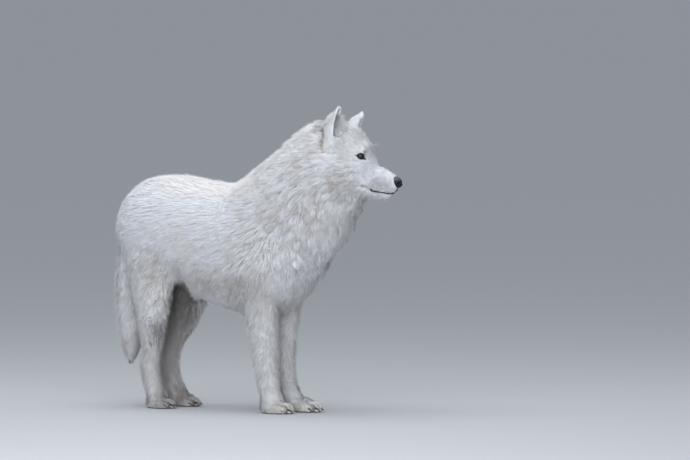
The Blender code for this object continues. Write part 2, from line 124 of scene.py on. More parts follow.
surround = bpy.data.worlds.new("surround")
surround.use_nodes = True
sky_nodes = surround.node_tree.nodes
sky_links = surround.node_tree.links
direction = sky_nodes.new("ShaderNodeTexCoord")
height = sky_nodes.new("ShaderNodeSeparateXYZ")
sky_shade = sky_nodes.new("ShaderNodeValToRGB")
sky_shade.color_ramp.elements[0].position = 0.0
sky_shade.color_ramp.elements[0].color = SKY_LOW
sky_shade.color_ramp.elements[1].position = SKY_TOP
sky_shade.color_ramp.elements[1].color = SKY_HIGH
sky_links.new(direction.outputs["Generated"], height.inputs["Vector"])
sky_links.new(height.outputs["Z"], sky_shade.inputs["Fac"])
sky_links.new(sky_shade.outputs["Color"], sky_nodes["Background"].inputs["Color"])
bpy.context.scene.world = surround
bpy.context.scene.view_settings.view_transform = "Standard"


# ---- Skin: one form -------------------------------------------------------------------------
# The hide is one closed surface over head, neck, trunk, tail, legs, feet and ears. It starts as
# the outer shape of the coat, with the cuts between the parts closed and the facets smoothed,
# and then sinks by the depth of the coat.
SIDES = {"right": -1, "left": 1}
FLESH = ["head", "neck", "trunk", "tail"]
for part_name in ("ear", "front_leg", "front_paw", "hind_thigh", "hind_leg", "hind_paw"):
    FLESH += [part_name + "_" + side for side in SIDES]
FILLING = ["nose", "eye_right", "eye_left"]  # they fill their sockets while the form is made
CLOSING = 0.0015  # each part grows by this much, to close the cuts
FORM_GRAIN = 0.0032  # edge length of the surface on head and feet
BODY_FACES = 150_000  # triangles of the form once the body is thinned out
CRISP_HEIGHT = 0.060  # the form is smoothed less below this, on the feet, and on the ears
EAR_MARGIN = 0.003

HEAD_TURN = math.radians(11)
HEAD_AT = np.array([0.4061, 0.0250, 0.0])  # point between the eyes, about which the head turns
HEAD_AXES = np.array([
    [math.cos(HEAD_TURN), math.sin(HEAD_TURN), 0],
    [-math.sin(HEAD_TURN), math.cos(HEAD_TURN), 0],
    [0, 0, 1],
])


def from_head(places):
    """Turn places given ahead, to the left and up in the head's own frame into the world's."""
    return np.asarray(places, float) @ HEAD_AXES + HEAD_AT


def to_head(places):
    return (np.asarray(places, float) - HEAD_AT) @ HEAD_AXES.T


def head_direction(direction):
    """Turn a direction given ahead, to the left and up in the head's own frame into the world's."""
    return np.asarray(direction, float) @ HEAD_AXES


def new_piece(name, shape):
    """Make an object of a bmesh, with all else deselected and this one active."""
    mesh = bpy.data.meshes.new(name)
    shape.to_mesh(mesh)
    shape.free()
    piece = bpy.data.objects.new(name, mesh)
    bpy.context.scene.collection.objects.link(piece)
    bpy.ops.object.select_all(action="DESELECT")
    piece.select_set(True)
    bpy.context.view_layer.objects.active = piece
    return piece


def unit(vectors):
    lengths = np.linalg.norm(vectors, axis=-1, keepdims=True)
    return vectors / np.maximum(lengths, 1e-9)


def vertex_places(mesh):
    places = np.empty(len(mesh.vertices) * 3)
    mesh.vertices.foreach_get("co", places)
    return places.reshape(-1, 3)


def edge_ends(mesh):
    ends = np.empty(len(mesh.edges) * 2, int)
    mesh.edges.foreach_get("vertices", ends)
    return ends.reshape(-1, 2)


def triangle_corners(mesh):
    corners = np.empty(len(mesh.polygons) * 3, int)
    mesh.polygons.foreach_get("vertices", corners)
    return corners.reshape(-1, 3)


def neighbour_mean(values, ends):
    """For each vertex, the mean of a value over the vertices that an edge joins to it."""
    flat = values.reshape(len(values), -1)
    count = np.bincount(ends.ravel(), minlength=len(values))
    mean = np.empty_like(flat)
    for column in range(flat.shape[1]):
        total = np.bincount(ends[:, 0], weights=flat[ends[:, 1], column], minlength=len(values))
        total += np.bincount(ends[:, 1], weights=flat[ends[:, 0], column], minlength=len(values))
        mean[:, column] = total / np.maximum(count, 1)
    return mean.reshape(values.shape)


def smoothed(values, ends, rounds, amount=0.5):
    for _round in range(rounds):
        values = values + (neighbour_mean(values, ends) - values) * amount
    return values


def outward_normals(places, corners):
    first, second, third = (places[corners[:, index]] for index in range(3))
    face_normals = np.cross(second - first, third - first)
    normals = np.zeros_like(places)
    for column in range(3):
        for index in range(3):
            normals[:, column] += np.bincount(
                corners[:, index], weights=face_normals[:, column], minlength=len(places)
            )
    return unit(normals)


def gap_to(places, centres):
    """How far each place lies from the nearest of the centres."""
    gaps = np.linalg.norm(places[:, None, :] - np.asarray(centres)[None, :, :], axis=2)
    return gaps.min(axis=1)


def tree_of(places):
    """A search tree that finds the nearest of many places."""
    tree = KDTree(len(places))
    for index, place in enumerate(places.tolist()):
        tree.insert(place, index)
    tree.balance()
    return tree


PADS = {  # fuller places of the head, in its frame: middle and half sizes of a rounded pad, and tilt
    "chin": ((0.056, 0.000, 0.6865), (0.032, 0.017, 0.0155), 0),
    "root_of_right_ear": ((-0.072, -0.063, 0.848), (0.021, 0.017, 0.024), 0),
    "root_of_left_ear": ((-0.066, 0.063, 0.838), (0.021, 0.017, 0.024), 0),
    "back_of_right_ear": ((-0.0865, -0.062, 0.9305), (0.034, 0.010, 0.0125), 37),
    "back_of_left_ear": ((-0.0650, 0.066, 0.9165), (0.033, 0.010, 0.0120), 27),
}

form = bmesh.new()
for node_name in FLESH + FILLING:
    form.from_mesh(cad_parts[node_name].data)
for middle, half_sizes, tilt in PADS.values():
    turn = Matrix.Rotation(HEAD_TURN, 4, "Z") @ Matrix.Rotation(math.radians(-tilt), 4, "Y")
    pad_place = Matrix.Translation(from_head(middle)) @ turn @ Matrix.Diagonal((*half_sizes, 1.0))
    bmesh.ops.create_icosphere(form, subdivisions=3, radius=1.0, matrix=pad_place)
bmesh.ops.remove_doubles(form, verts=form.verts, dist=0.00001)
form.normal_update()
for vertex in form.verts:
    vertex.co += vertex.normal * CLOSING
skin = new_piece("skin", form)
remesh = skin.modifiers.new("one_form", "REMESH")
remesh.mode = "VOXEL"
remesh.voxel_size = FORM_GRAIN
bpy.ops.object.modifier_apply(modifier=remesh.name)

skin_places = vertex_places(skin.data)
crisp = skin_places[:, 2] < CRISP_HEIGHT
for side in SIDES:
    low, high = (np.array(corner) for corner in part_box("ear_" + side))
    by_ear = (skin_places > low - EAR_MARGIN) & (skin_places < high + EAR_MARGIN)
    crisp |= by_ear.all(axis=1)
crisp = smoothed(crisp.astype(float), edge_ends(skin.data), rounds=4)[:, None]
lightly = smoothed(skin_places, edge_ends(skin.data), rounds=3)
well = smoothed(lightly, edge_ends(skin.data), rounds=8)
skin_places = lightly * crisp + well * (1 - crisp)
skin.data.vertices.foreach_set("co", skin_places.ravel())

# The trunk, neck and upper legs lie deep under the coat and keep fewer faces.
head_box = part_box("head")
fine = (skin_places[:, 0] > head_box[0].x + 0.03) & (skin_places[:, 2] > head_box[0].z)
fine |= skin_places[:, 2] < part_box("front_paw_right")[1].z
thinning = skin.vertex_groups.new(name="thinning")
thinning.add(np.flatnonzero(~fine).tolist(), 1.0, "REPLACE")
thin_out = skin.modifiers.new("thin_out", "DECIMATE")
thin_out.ratio = BODY_FACES / (2 * len(skin.data.polygons))
thin_out.vertex_group = thinning.name
thin_out.vertex_group_factor = 2.0
bpy.ops.object.modifier_apply(modifier=thin_out.name)
skin.vertex_groups.clear()

# Round the eyes and along the mouth the faces are split finer, for lids and lips. Thinning can
# leave two faces over the same corners, with nothing between them, and both of those go.
EYE_AT = {side: from_head((-0.004, sign * 0.0385, 0.8075)) for side, sign in SIDES.items()}
EYE_RADIUS = 0.0125
MOUTH_LINE = [  # from the corner of the mouth to the middle of the upper lip: ahead, aside, up
    (0.0015, 0.050, 0.7165),
    (0.0150, 0.044, 0.7130),
    (0.0260, 0.040, 0.7070),
    (0.0335, 0.038, 0.7020),
    (0.0560, 0.033, 0.6975),
    (0.0780, 0.027, 0.6945),
    (0.0890, 0.018, 0.6935),
    (0.0950, 0.008, 0.6975),
    (0.0970, 0.000, 0.7015),
    (0.1010, 0.000, 0.7090),
]


def mouth_places(side_sign):
    return from_head([(ahead, side_sign * aside, up) for ahead, aside, up in MOUTH_LINE])


form = bmesh.new()
form.from_mesh(skin.data)
bmesh.ops.triangulate(form, faces=form.faces)
mouths = np.vstack([mouth_places(-1), mouth_places(1)])
mouths = np.vstack([mouths, (mouths[1:] + mouths[:-1]) / 2])
for centres, reach in (
    (list(EYE_AT.values()), 0.030),
    (mouths, 0.012),
    (list(EYE_AT.values()), 0.024),
):
    places = np.array([vertex.co for vertex in form.verts])
    near = gap_to(places, centres) < reach
    form.verts.index_update()
    chosen = [edge for edge in form.edges if near[edge.verts[0].index] and near[edge.verts[1].index]]
    bmesh.ops.subdivide_edges(form, edges=chosen, cuts=1, use_grid_fill=True)
    bmesh.ops.triangulate(form, faces=form.faces)

faces_over = {}
for face in form.faces:
    faces_over.setdefault(frozenset(face.verts), []).append(face)
doubled = [face for faces in faces_over.values() if len(faces) > 1 for face in faces]
bmesh.ops.delete(form, geom=doubled, context="FACES")
form.to_mesh(skin.data)
form.free()
skin_ends = edge_ends(skin.data)
skin_corners = triangle_corners(skin.data)
outline_places = smoothed(vertex_places(skin.data), skin_ends, rounds=2)

# The face dips at the stop, between the brows and the straight bridge of the muzzle. The hair
# behind the hocks is fuller, and the fold between belly and thigh rises to a point.
BROW_SWELL = 0.0085
BROWS = ((0.016, 0.015), (0.012, 0.017), (0.841, 0.015))  # middle and reach: ahead, aside, up
STOP_DIP = 0.0135
STOP = (0.037, 0.015)  # middle and reach ahead
BRIDGE_DIP = 0.0025
BRIDGE = (0.080, 0.020)
BRIDGE_HALF = 0.030
BRIDGE_FOOT = (0.742, 0.030)  # height at which the dips begin, and from there to their full depth
BRIDGE_END = 0.100
HOCK_SWELL = {"right": 0.0070, "left": 0.0235}
HOCK_HEIGHT = {"right": 0.170, "left": 0.090}
HOCK_REACH = 0.075
HIND_LEG_FRONT = -0.25
FLANK_LIFT = 0.040
FLANK_FOLD = ((-0.238, 0.024), (0.090, 0.050))  # middle and reach: ahead, aside
FLANK_TOP = (0.490, -0.100)  # height at which the fold begins, and from there down to its full lift
FLANK_FOOT = (0.330, 0.050)


def hump(values, middle, reach):
    """One at the middle, falling off on both sides as a bell does."""
    return np.exp(-(((values - middle) / reach) ** 2))


def ramp(values, start, span):
    """Nought at the start and one a span further on, which may be downwards."""
    return np.clip((values - start) / span, 0, 1)


ahead, aside, up = to_head(outline_places).T
swell = BROW_SWELL * hump(ahead, *BROWS[0]) * hump(np.abs(aside), *BROWS[1]) * hump(up, *BROWS[2])
dip = STOP_DIP * hump(ahead, *STOP) + BRIDGE_DIP * hump(ahead, *BRIDGE)
dip *= hump(aside, 0, BRIDGE_HALF) * ramp(up, *BRIDGE_FOOT) * (ahead < BRIDGE_END)
outline_places += np.outer(swell, unit(head_direction((0.8, 0, 0.6))))
outline_places[:, 2] -= dip
outline_normals = outward_normals(outline_places, skin_corners)
for side, side_sign in SIDES.items():
    on_hind_leg = (outline_places[:, 0] < HIND_LEG_FRONT) & (outline_places[:, 1] * side_sign > 0)
    hock = HOCK_SWELL[side] * hump(outline_places[:, 2], HOCK_HEIGHT[side], HOCK_REACH) * on_hind_leg
    outline_places[:, 0] -= hock * np.clip(-outline_normals[:, 0], 0, 1)

# Each place on the skin belongs to the part of the flesh that it is nearest to.
part_places = []
part_names = []
for node_name in FLESH:
    places = vertex_places(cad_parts[node_name].data)
    part_places.append(places)
    part_names += [node_name] * len(places)
part_tree = tree_of(np.vstack(part_places))
skin_part = np.array([part_names[part_tree.find(place)[1]] for place in outline_places])
ahead, aside, up = outline_places.T
fold = hump(ahead, *FLANK_FOLD[0]) * hump(np.abs(aside), *FLANK_FOLD[1])
fold *= ramp(up, *FLANK_TOP) * ramp(up, *FLANK_FOOT)
fold *= np.isin(skin_part, ["trunk", "hind_thigh_right", "hind_thigh_left"])
outline_places[:, 2] += FLANK_LIFT * smoothed(fold, skin_ends, rounds=6)


# ---- Skin: the lie of the coat --------------------------------------------------------------
# A wolf's guard hair runs back from the nose over head, neck and trunk, down the legs and
# towards the tips of tail and ears. It is shortest on face and feet, and deepest on the neck
# and the tail, where its tufts draw together into locks.

# These guides say how the hair grows at named places, and between them it blends. Each has its
# place and the lie of the hair there, then the depth of the coat and the length and width of a
# tuft in mm, and how far tufts draw together into locks. Both sides of the wolf are alike.
BODY_GUIDES = {
    "rump": ((-0.470, 0.045, 0.640), (-0.55, 0.0, -0.85), 20, 36, 3.0, 0.14),
    "croup": ((-0.380, 0.030, 0.705), (-1.0, 0.0, -0.25), 22, 38, 3.0, 0.10),
    "loin": ((-0.230, 0.030, 0.735), (-1.0, 0.0, 0.0), 24, 40, 3.0, 0.08),
    "back": ((-0.080, 0.030, 0.720), (-1.0, 0.0, 0.0), 26, 42, 3.0, 0.08),
    "withers": ((0.030, 0.040, 0.735), (-1.0, 0.0, -0.2), 30, 48, 3.0, 0.18),
    "buttock": ((-0.475, 0.060, 0.520), (-0.20, 0.0, -1.0), 20, 38, 3.0, 0.25),
    "haunch": ((-0.350, 0.125, 0.600), (-0.85, 0.0, -0.50), 22, 36, 3.0, 0.18),
    "flank_high": ((-0.200, 0.125, 0.640), (-0.95, 0.0, -0.30), 25, 42, 3.0, 0.15),
    "flank": ((-0.180, 0.130, 0.520), (-0.85, 0.0, -0.50), 26, 45, 3.0, 0.30),
    "ribs_high": ((-0.030, 0.130, 0.650), (-0.95, 0.0, -0.35), 27, 45, 3.0, 0.18),
    "ribs": ((-0.030, 0.140, 0.510), (-0.80, 0.0, -0.60), 27, 46, 3.0, 0.32),
    "belly_side": ((-0.100, 0.100, 0.380), (-0.70, -0.10, -0.70), 22, 45, 3.6, 0.60),
    "belly": ((-0.100, 0.000, 0.340), (-1.0, 0.0, -0.1), 14, 30, 3.2, 0.40),
    "groin": ((-0.250, 0.050, 0.430), (-0.60, 0.0, -0.70), 12, 26, 3.0, 0.40),
    "shoulder_top": ((0.060, 0.100, 0.680), (-0.85, 0.0, -0.50), 30, 50, 3.2, 0.50),
    "shoulder": ((0.080, 0.145, 0.560), (-0.50, 0.0, -0.85), 28, 50, 3.2, 0.60),
    "shoulder_low": ((0.080, 0.140, 0.450), (-0.25, 0.0, -0.95), 20, 40, 3.2, 0.55),
    "elbow": ((-0.005, 0.110, 0.420), (-0.50, 0.0, -0.85), 20, 42, 3.4, 0.60),
    "brisket": ((0.080, 0.000, 0.330), (-0.90, 0.0, -0.40), 20, 36, 3.2, 0.45),
    "breast": ((0.240, 0.030, 0.480), (-0.20, -0.25, -0.95), 30, 55, 3.0, 0.65),
    "breast_side": ((0.180, 0.120, 0.500), (-0.10, -0.20, -0.95), 30, 55, 3.0, 0.65),
    "nape": ((0.240, 0.035, 0.895), (-0.85, 0.0, -0.50), 32, 50, 2.8, 0.45),
    "nape_low": ((0.110, 0.040, 0.800), (-0.80, 0.0, -0.60), 34, 54, 3.0, 0.45),
    "neck_side_high": ((0.250, 0.110, 0.820), (-0.75, 0.10, -0.60), 32, 50, 2.8, 0.55),
    "neck_side": ((0.200, 0.140, 0.700), (-0.60, 0.0, -0.75), 35, 58, 3.0, 0.65),
    "neck_front": ((0.300, 0.100, 0.640), (-0.10, -0.15, -0.95), 34, 58, 3.0, 0.70),
    "throat": ((0.340, 0.030, 0.600), (-0.15, -0.10, -0.97), 30, 56, 3.0, 0.65),
    "throat_high": ((0.360, 0.040, 0.660), (-0.40, 0.0, -0.90), 22, 42, 2.6, 0.55),
    "foreleg_top": ((0.060, 0.120, 0.370), (-0.15, 0.0, -1.0), 14, 32, 3.0, 0.60),
    "foreleg": ((0.075, 0.085, 0.250), (-0.12, 0.0, -1.0), 9, 22, 2.4, 0.60),
    "foreleg_rear": ((0.020, 0.070, 0.270), (-0.35, 0.0, -0.95), 12, 32, 2.8, 0.65),
    "foreleg_low": ((0.080, 0.080, 0.120), (-0.05, 0.0, -1.0), 7, 17, 2.2, 0.55),
    "forepaw": ((0.120, 0.060, 0.050), (0.90, 0.0, -0.50), 4, 11, 1.8, 0.45),
    "forepaw_toes": ((0.170, 0.060, 0.030), (0.90, 0.0, -0.60), 3, 7, 1.5, 0.20),
    "thigh": ((-0.330, 0.110, 0.450), (-0.45, 0.0, -0.90), 17, 34, 3.0, 0.50),
    "thigh_front": ((-0.230, 0.100, 0.410), (-0.40, 0.0, -0.90), 16, 34, 3.0, 0.50),
    "thigh_rear": ((-0.430, 0.080, 0.420), (-0.25, 0.0, -1.0), 18, 36, 3.0, 0.50),
    "thigh_inside": ((-0.320, 0.020, 0.380), (-0.35, 0.0, -0.95), 8, 20, 2.6, 0.40),
    "stifle": ((-0.260, 0.090, 0.320), (-0.35, 0.0, -0.95), 13, 28, 2.8, 0.50),
    "gaskin": ((-0.330, 0.085, 0.260), (-0.35, 0.0, -0.95), 10, 25, 2.5, 0.55),
    "hock": ((-0.370, 0.060, 0.160), (0.0, 0.0, -1.0), 6, 18, 2.2, 0.55),
    "shank": ((-0.355, 0.065, 0.100), (0.15, 0.0, -1.0), 6, 16, 2.1, 0.50),
    "hindpaw": ((-0.330, 0.060, 0.045), (0.90, 0.0, -0.50), 4, 11, 1.8, 0.45),
    "hindpaw_toes": ((-0.280, 0.060, 0.030), (0.90, 0.0, -0.60), 3, 7, 1.5, 0.20),
    "tail_root": ((-0.475, 0.020, 0.590), (-0.30, 0.0, -1.0), 22, 42, 3.0, 0.40),
    "tail": ((-0.475, 0.040, 0.450), (-0.10, 0.10, -1.0), 32, 58, 2.8, 0.55),
    "tail_low": ((-0.475, 0.040, 0.310), (-0.10, 0.05, -1.0), 36, 66, 2.8, 0.60),
    "tail_end": ((-0.472, 0.020, 0.220), (-0.05, 0.0, -1.0), 17, 52, 2.5, 0.60),
    "tail_tip": ((-0.474, 0.000, 0.160), (0.0, 0.0, -1.0), 4, 32, 2.0, 0.45),
}
# The same on the head, with place and lie in the head's own frame: ahead, aside, up.
HEAD_GUIDES = {
    "muzzle_front": ((0.100, 0.012, 0.745), (-0.95, 0.0, 0.25), 2, 7.2, 1.1, 0.25),
    "muzzle_top": ((0.070, 0.006, 0.766), (-1.0, 0.0, 0.40), 2.5, 8.6, 1.2, 0.25),
    "muzzle_side": ((0.065, 0.030, 0.730), (-0.97, 0.0, -0.05), 2.5, 10, 1.2, 0.25),
    "upper_lip": ((0.075, 0.028, 0.705), (-0.95, 0.0, -0.22), 2.5, 8.0, 1.2, 0.25),
    "chin": ((0.080, 0.010, 0.687), (-0.95, 0.0, -0.25), 4, 12.7, 1.4, 0.35),
    "lower_jaw": ((0.040, 0.020, 0.678), (-0.95, 0.10, -0.20), 5, 16.7, 1.7, 0.4),
    "stop": ((0.012, 0.010, 0.830), (-0.55, 0.05, 0.80), 3.5, 12.7, 1.4, 0.3),
    "forehead": ((-0.025, 0.018, 0.893), (-0.85, 0.15, 0.45), 6, 20.8, 1.8, 0.50),
    "skull_top": ((-0.085, 0.020, 0.914), (-1.0, 0.0, 0.0), 9, 26, 1.9, 0.45),
    "below_eye": ((0.015, 0.048, 0.775), (-0.95, 0.15, -0.25), 3, 11.3, 1.3, 0.27),
    "inner_brow": ((0.004, 0.030, 0.828), (-0.75, 0.30, 0.55), 3, 11.3, 1.3, 0.27),
    "behind_eye": ((-0.030, 0.060, 0.812), (-0.98, 0.15, 0.0), 4.5, 16.7, 1.6, 0.35),
    "temple": ((-0.045, 0.058, 0.855), (-0.85, 0.25, 0.35), 6, 20.8, 1.8, 0.4),
    "cheek": ((-0.025, 0.068, 0.755), (-0.90, 0.15, -0.40), 7, 22.1, 1.8, 0.45),
    "jaw": ((0.000, 0.045, 0.695), (-0.88, 0.10, -0.45), 6, 20.8, 1.8, 0.45),
    "cheek_ruff": ((-0.080, 0.095, 0.770), (-0.80, 0.20, -0.55), 16, 32, 2.2, 0.5),
    "ruff_low": ((-0.080, 0.085, 0.700), (-0.60, 0.10, -0.80), 18, 38, 2.4, 0.6),
    "jaw_throat": ((-0.060, 0.020, 0.665), (-0.60, 0.0, -0.80), 14, 30, 2.2, 0.5),
    "below_ear": ((-0.110, 0.088, 0.830), (-0.85, 0.15, -0.50), 14, 30, 2.2, 0.5),
    "behind_ear": ((-0.135, 0.060, 0.890), (-0.90, 0.10, -0.35), 16, 34, 2.3, 0.4),
}
GUIDE_BLUR = 0.010  # guides nearer than this to a place share it
BLEND_POWER = 5  # how soon one guide gives way to the next


def mirrored(place, side_sign):
    """A place or a direction of the left side, or where that lies on the right side."""
    return np.array(place) * (1, side_sign, 1)


guide_places = []
guide_lies = []
guide_sizes = []
for side_sign in SIDES.values():
    for place, lie, *sizes in BODY_GUIDES.values():
        guide_places.append(mirrored(place, side_sign))
        guide_lies.append(mirrored(lie, side_sign))
        guide_sizes.append(sizes)
    for place, lie, *sizes in HEAD_GUIDES.values():
        guide_places.append(from_head(mirrored(place, side_sign)))
        guide_lies.append(head_direction(mirrored(lie, side_sign)))
        guide_sizes.append(sizes)

gaps = np.linalg.norm(outline_places[:, None, :] - np.array(guide_places)[None, :, :], axis=2)
shares = 1.0 / (gaps + GUIDE_BLUR) ** BLEND_POWER
shares /= shares.sum(axis=1, keepdims=True)
skin_lie = shares @ unit(np.array(guide_lies))
skin_depth, skin_length, skin_width, skin_locking = (shares @ np.array(guide_sizes)).T.copy()
skin_depth, skin_length, skin_width = (size / 1000 for size in (skin_depth, skin_length, skin_width))

# The hair of the ears is short and runs to their tips. The foot of an ear's inner edge is haired
# as the head is, and the soles stay on the floor.
EAR_ROOTS = {"right": (-0.090, -0.044, 0.840), "left": (-0.090, 0.044, 0.840)}
EAR_TIPS = {"right": (-0.048, -0.079, 0.957), "left": (-0.048, 0.079, 0.934)}
EAR_INNER_EDGE = 0.036  # from the middle of the head
EAR_FOOT_LEVEL = 0.75  # how far its foot reaches from root to tip
EAR_DEPTH = 0.0010
EAR_HAIR = 0.010
EAR_TIP_SPAN = 0.035  # the hair shortens towards the tip over this length
EAR_WIDTH = 0.0014
EAR_LOCKING = 0.25
SOLE_HEIGHT = 0.004
SOLE_DEPTH = 0.0005
for side in SIDES:
    base = from_head(EAR_ROOTS[side])
    tip = from_head(EAR_TIPS[side])
    from_middle = np.abs(to_head(outline_places)[:, 1])
    low = outline_places[:, 2] < base[2] + EAR_FOOT_LEVEL * (tip[2] - base[2])
    skin_part[(skin_part == "ear_" + side) & (from_middle < EAR_INNER_EDGE) & low] = "head"
    on_ear = skin_part == "ear_" + side
    below_tip = tip[2] - outline_places[on_ear, 2]
    skin_lie[on_ear] = unit(tip - base)
    skin_depth[on_ear] = EAR_DEPTH
    skin_length[on_ear] = EAR_HAIR * np.clip(below_tip / EAR_TIP_SPAN, 0.35, 1)
    skin_width[on_ear] = EAR_WIDTH
    skin_locking[on_ear] = EAR_LOCKING
skin_depth = smoothed(skin_depth, skin_ends, rounds=16)
skin_depth[outline_places[:, 2] < SOLE_HEIGHT] = SOLE_DEPTH

# Grooves part the toes of each foot: middle of the foot, half its length and half its width.
PAWS = {
    "front_paw_right": (0.1261, -0.062, 0.062, 0.042),
    "front_paw_left": (0.1511, 0.052, 0.062, 0.042),
    "hind_paw_right": (-0.3179, -0.064, 0.055, 0.038),
    "hind_paw_left": (-0.3119, 0.060, 0.055, 0.038),
}
PAW_TOP = 0.070
TOE_SPACING = 0.46  # from groove to groove, for half the foot's width
TOE_GROOVE = 0.0080
GROOVE_WIDTH = 0.0034
GROOVE_FOOT = 0.003
TOE_SWELL = 0.0022
toe_gap = np.zeros(len(outline_places))
toe_round = np.zeros(len(outline_places))
for middle_x, middle_y, half_length, half_width in PAWS.values():
    forward = (outline_places[:, 0] - middle_x) / half_length
    aside = (outline_places[:, 1] - middle_y) / half_width
    on_foot = (np.abs(aside) < 1.25) & (forward > -0.1) & (forward < 1.3)
    on_foot &= outline_places[:, 2] < PAW_TOP
    for lane in (-1, 0, 1):
        groove = hump((aside - lane * TOE_SPACING) * half_width, 0, GROOVE_WIDTH)
        groove *= ramp(forward, 0.15 + 0.12 * abs(lane), 0.35)
        toe_gap = np.maximum(toe_gap, np.where(on_foot, groove, 0))
    swelling = (0.5 - 0.5 * np.cos(math.tau * aside / TOE_SPACING)) * ramp(forward, 0.35, 0.3)
    toe_round = np.maximum(toe_round, np.where(on_foot, swelling, 0))
toe_gap[outline_places[:, 2] < GROOVE_FOOT] = 0

# Sink the surface by the coat's depth, in steps, easing it after each.
INSET_STEPS = 6
DEEP = 0.012  # where the coat is this deep, each step is eased fully
OFF_FLOOR = 0.0008
skin_places = outline_places.copy()
for _step in range(INSET_STEPS):
    normals = outward_normals(skin_places, skin_corners)
    skin_places -= normals * ((skin_depth + CLOSING) / INSET_STEPS)[:, None]
    eased = smoothed(skin_places, skin_ends, rounds=2)
    easing = np.clip(skin_depth / DEEP, 0.05, 1.0)[:, None]
    skin_places += (eased - skin_places) * easing
toe_form = TOE_SWELL * toe_round - TOE_GROOVE * toe_gap
skin_places += outward_normals(skin_places, skin_corners) * toe_form[:, None]
skin_places[:, 2] = np.maximum(skin_places[:, 2], OFF_FLOOR)


# ---- Skin: lids and mouth -------------------------------------------------------------------
# The lids are skin drawn over the eyeballs, open as an almond whose inner corner points forward
# and down. Their edges are dark and bare, and run out into short dark lines at both corners.
# The mouth is a shallow groove between full upper lips and the lower jaw.
GAZE = {side: unit(head_direction((0.64, sign * 0.74, 0.16))) for side, sign in SIDES.items()}
SLIT_TILT = math.radians(12)
SLIT_HALF = 0.0125  # half the opening's length
SLIT_DROP = 0.0045  # how far the line between the corners lies below the middle of the eyeball
LID_RISE = 0.0080  # how far the upper lid opens above the line between the corners
LID_FALL = 0.0032
LID_THICKNESS = 0.0010
LID_REACH = 0.030  # the skin is shaped this far from the middle of the eye
LID_BACK = -0.002  # and this far behind it
LID_COVER = (0.0165, -0.0045)  # from here inwards the skin is drawn towards the ball
LID_DRAW = 0.65
SLIT_EDGE = -0.0004
HOOD_FROM = 0.0030  # the upper lid is hooded outside this distance from its edge
HOOD = (0.0060, 0.0020)  # middle and reach from the lid's edge
HOOD_SWELL = 0.0010
CREASE = (0.0038, 0.0009)
CREASE_DIP = 0.0007
RIM_WIDTH = 0.0030
UPPER_RIM = 0.0016  # the upper lid's dark edge is wider by this much
RIM_FADE = 0.0012
TEAR_LINE = 0.0105  # dark skin beyond the inner corner
TEAR_WIDTH = 0.0040
OUTER_LINE = 0.0085
OUTER_WIDTH = 0.0030
OUTER_RISE = 0.0006
LINE_FADE = 0.0008
BEHIND_EYE = 0.0100  # radius at which the skin passes behind the eyeball's front


def eye_axes(side):
    """The slit's axis from the outer to the inner corner, and its axis upward."""
    gaze = GAZE[side]
    forward = head_direction((1.0, 0, 0))
    forward = unit(forward - gaze * (forward @ gaze))
    up = np.cross(gaze, forward)
    up *= np.sign(up[2])
    inner = forward * math.cos(SLIT_TILT) - up * math.sin(SLIT_TILT)
    upward = up * math.cos(SLIT_TILT) + forward * math.sin(SLIT_TILT)
    return inner, upward


def over_eye(side, places):
    """Places as offsets from the middle of an eye, and along and across its slit."""
    inner, upward = eye_axes(side)
    offset = places - EYE_AT[side]
    return offset, offset @ inner, offset @ upward + SLIT_DROP


def outside_slit(along, across):
    """How far a place lies outside the almond opening; negative inside it."""
    fullness = np.clip(1 - (along / SLIT_HALF) ** 2, 0, None)
    upper = across - LID_RISE * fullness**0.75
    lower = -across - LID_FALL * fullness**0.9
    beyond = np.hypot(np.clip(np.abs(along) - SLIT_HALF, 0, None), across)
    return np.where(np.abs(along) < SLIT_HALF, np.maximum(upper, lower), beyond)


def corner_line(along, across, length, width):
    """Dark skin beyond a corner of the eye, narrowing to its end."""
    taper = np.clip(1.2 - (along - SLIT_HALF) / length, 0, 1)
    line = ramp(np.abs(across), width * taper, -LINE_FADE)
    return line * ((along > 0) & (along < SLIT_HALF + length))


HOLLOW_OFF = 0.010  # how far the middle of the ear's hollow lies off the line from root to tip
HOLLOW_FLOOR = 0.866
HOLLOW_FACING = 0.25  # how squarely its skin faces the middle of the hollow, at least
HOLLOW_EDGE = -0.011  # its bare skin ends here towards the outer side
HOLLOW_TOP = 0.64  # and here towards the tip
# dark bare skin in the hollow, which is partly painted shade
HOLLOW_BARE_AND_SHADE = 0.72


def ear_hollow(side, places, normals):
    """Which places lie inside the ear, how far to its outer side, and how far from root to tip."""
    root, tip = from_head(EAR_ROOTS[side]), from_head(EAR_TIPS[side])
    opening = unit(head_direction((0.80, SIDES[side] * 0.60, 0.0)))
    sideways = head_direction((0.0, SIDES[side], 0.0))
    level = (places[:, 2] - root[2]) / (tip[2] - root[2])
    to_middle = root + level[:, None] * (tip - root) + opening * HOLLOW_OFF - places
    facing = (to_middle * normals).sum(axis=1)
    turned_in = facing > HOLLOW_FACING * np.linalg.norm(to_middle, axis=1)
    return turned_in & (places[:, 2] > HOLLOW_FLOOR), -to_middle @ sideways, level
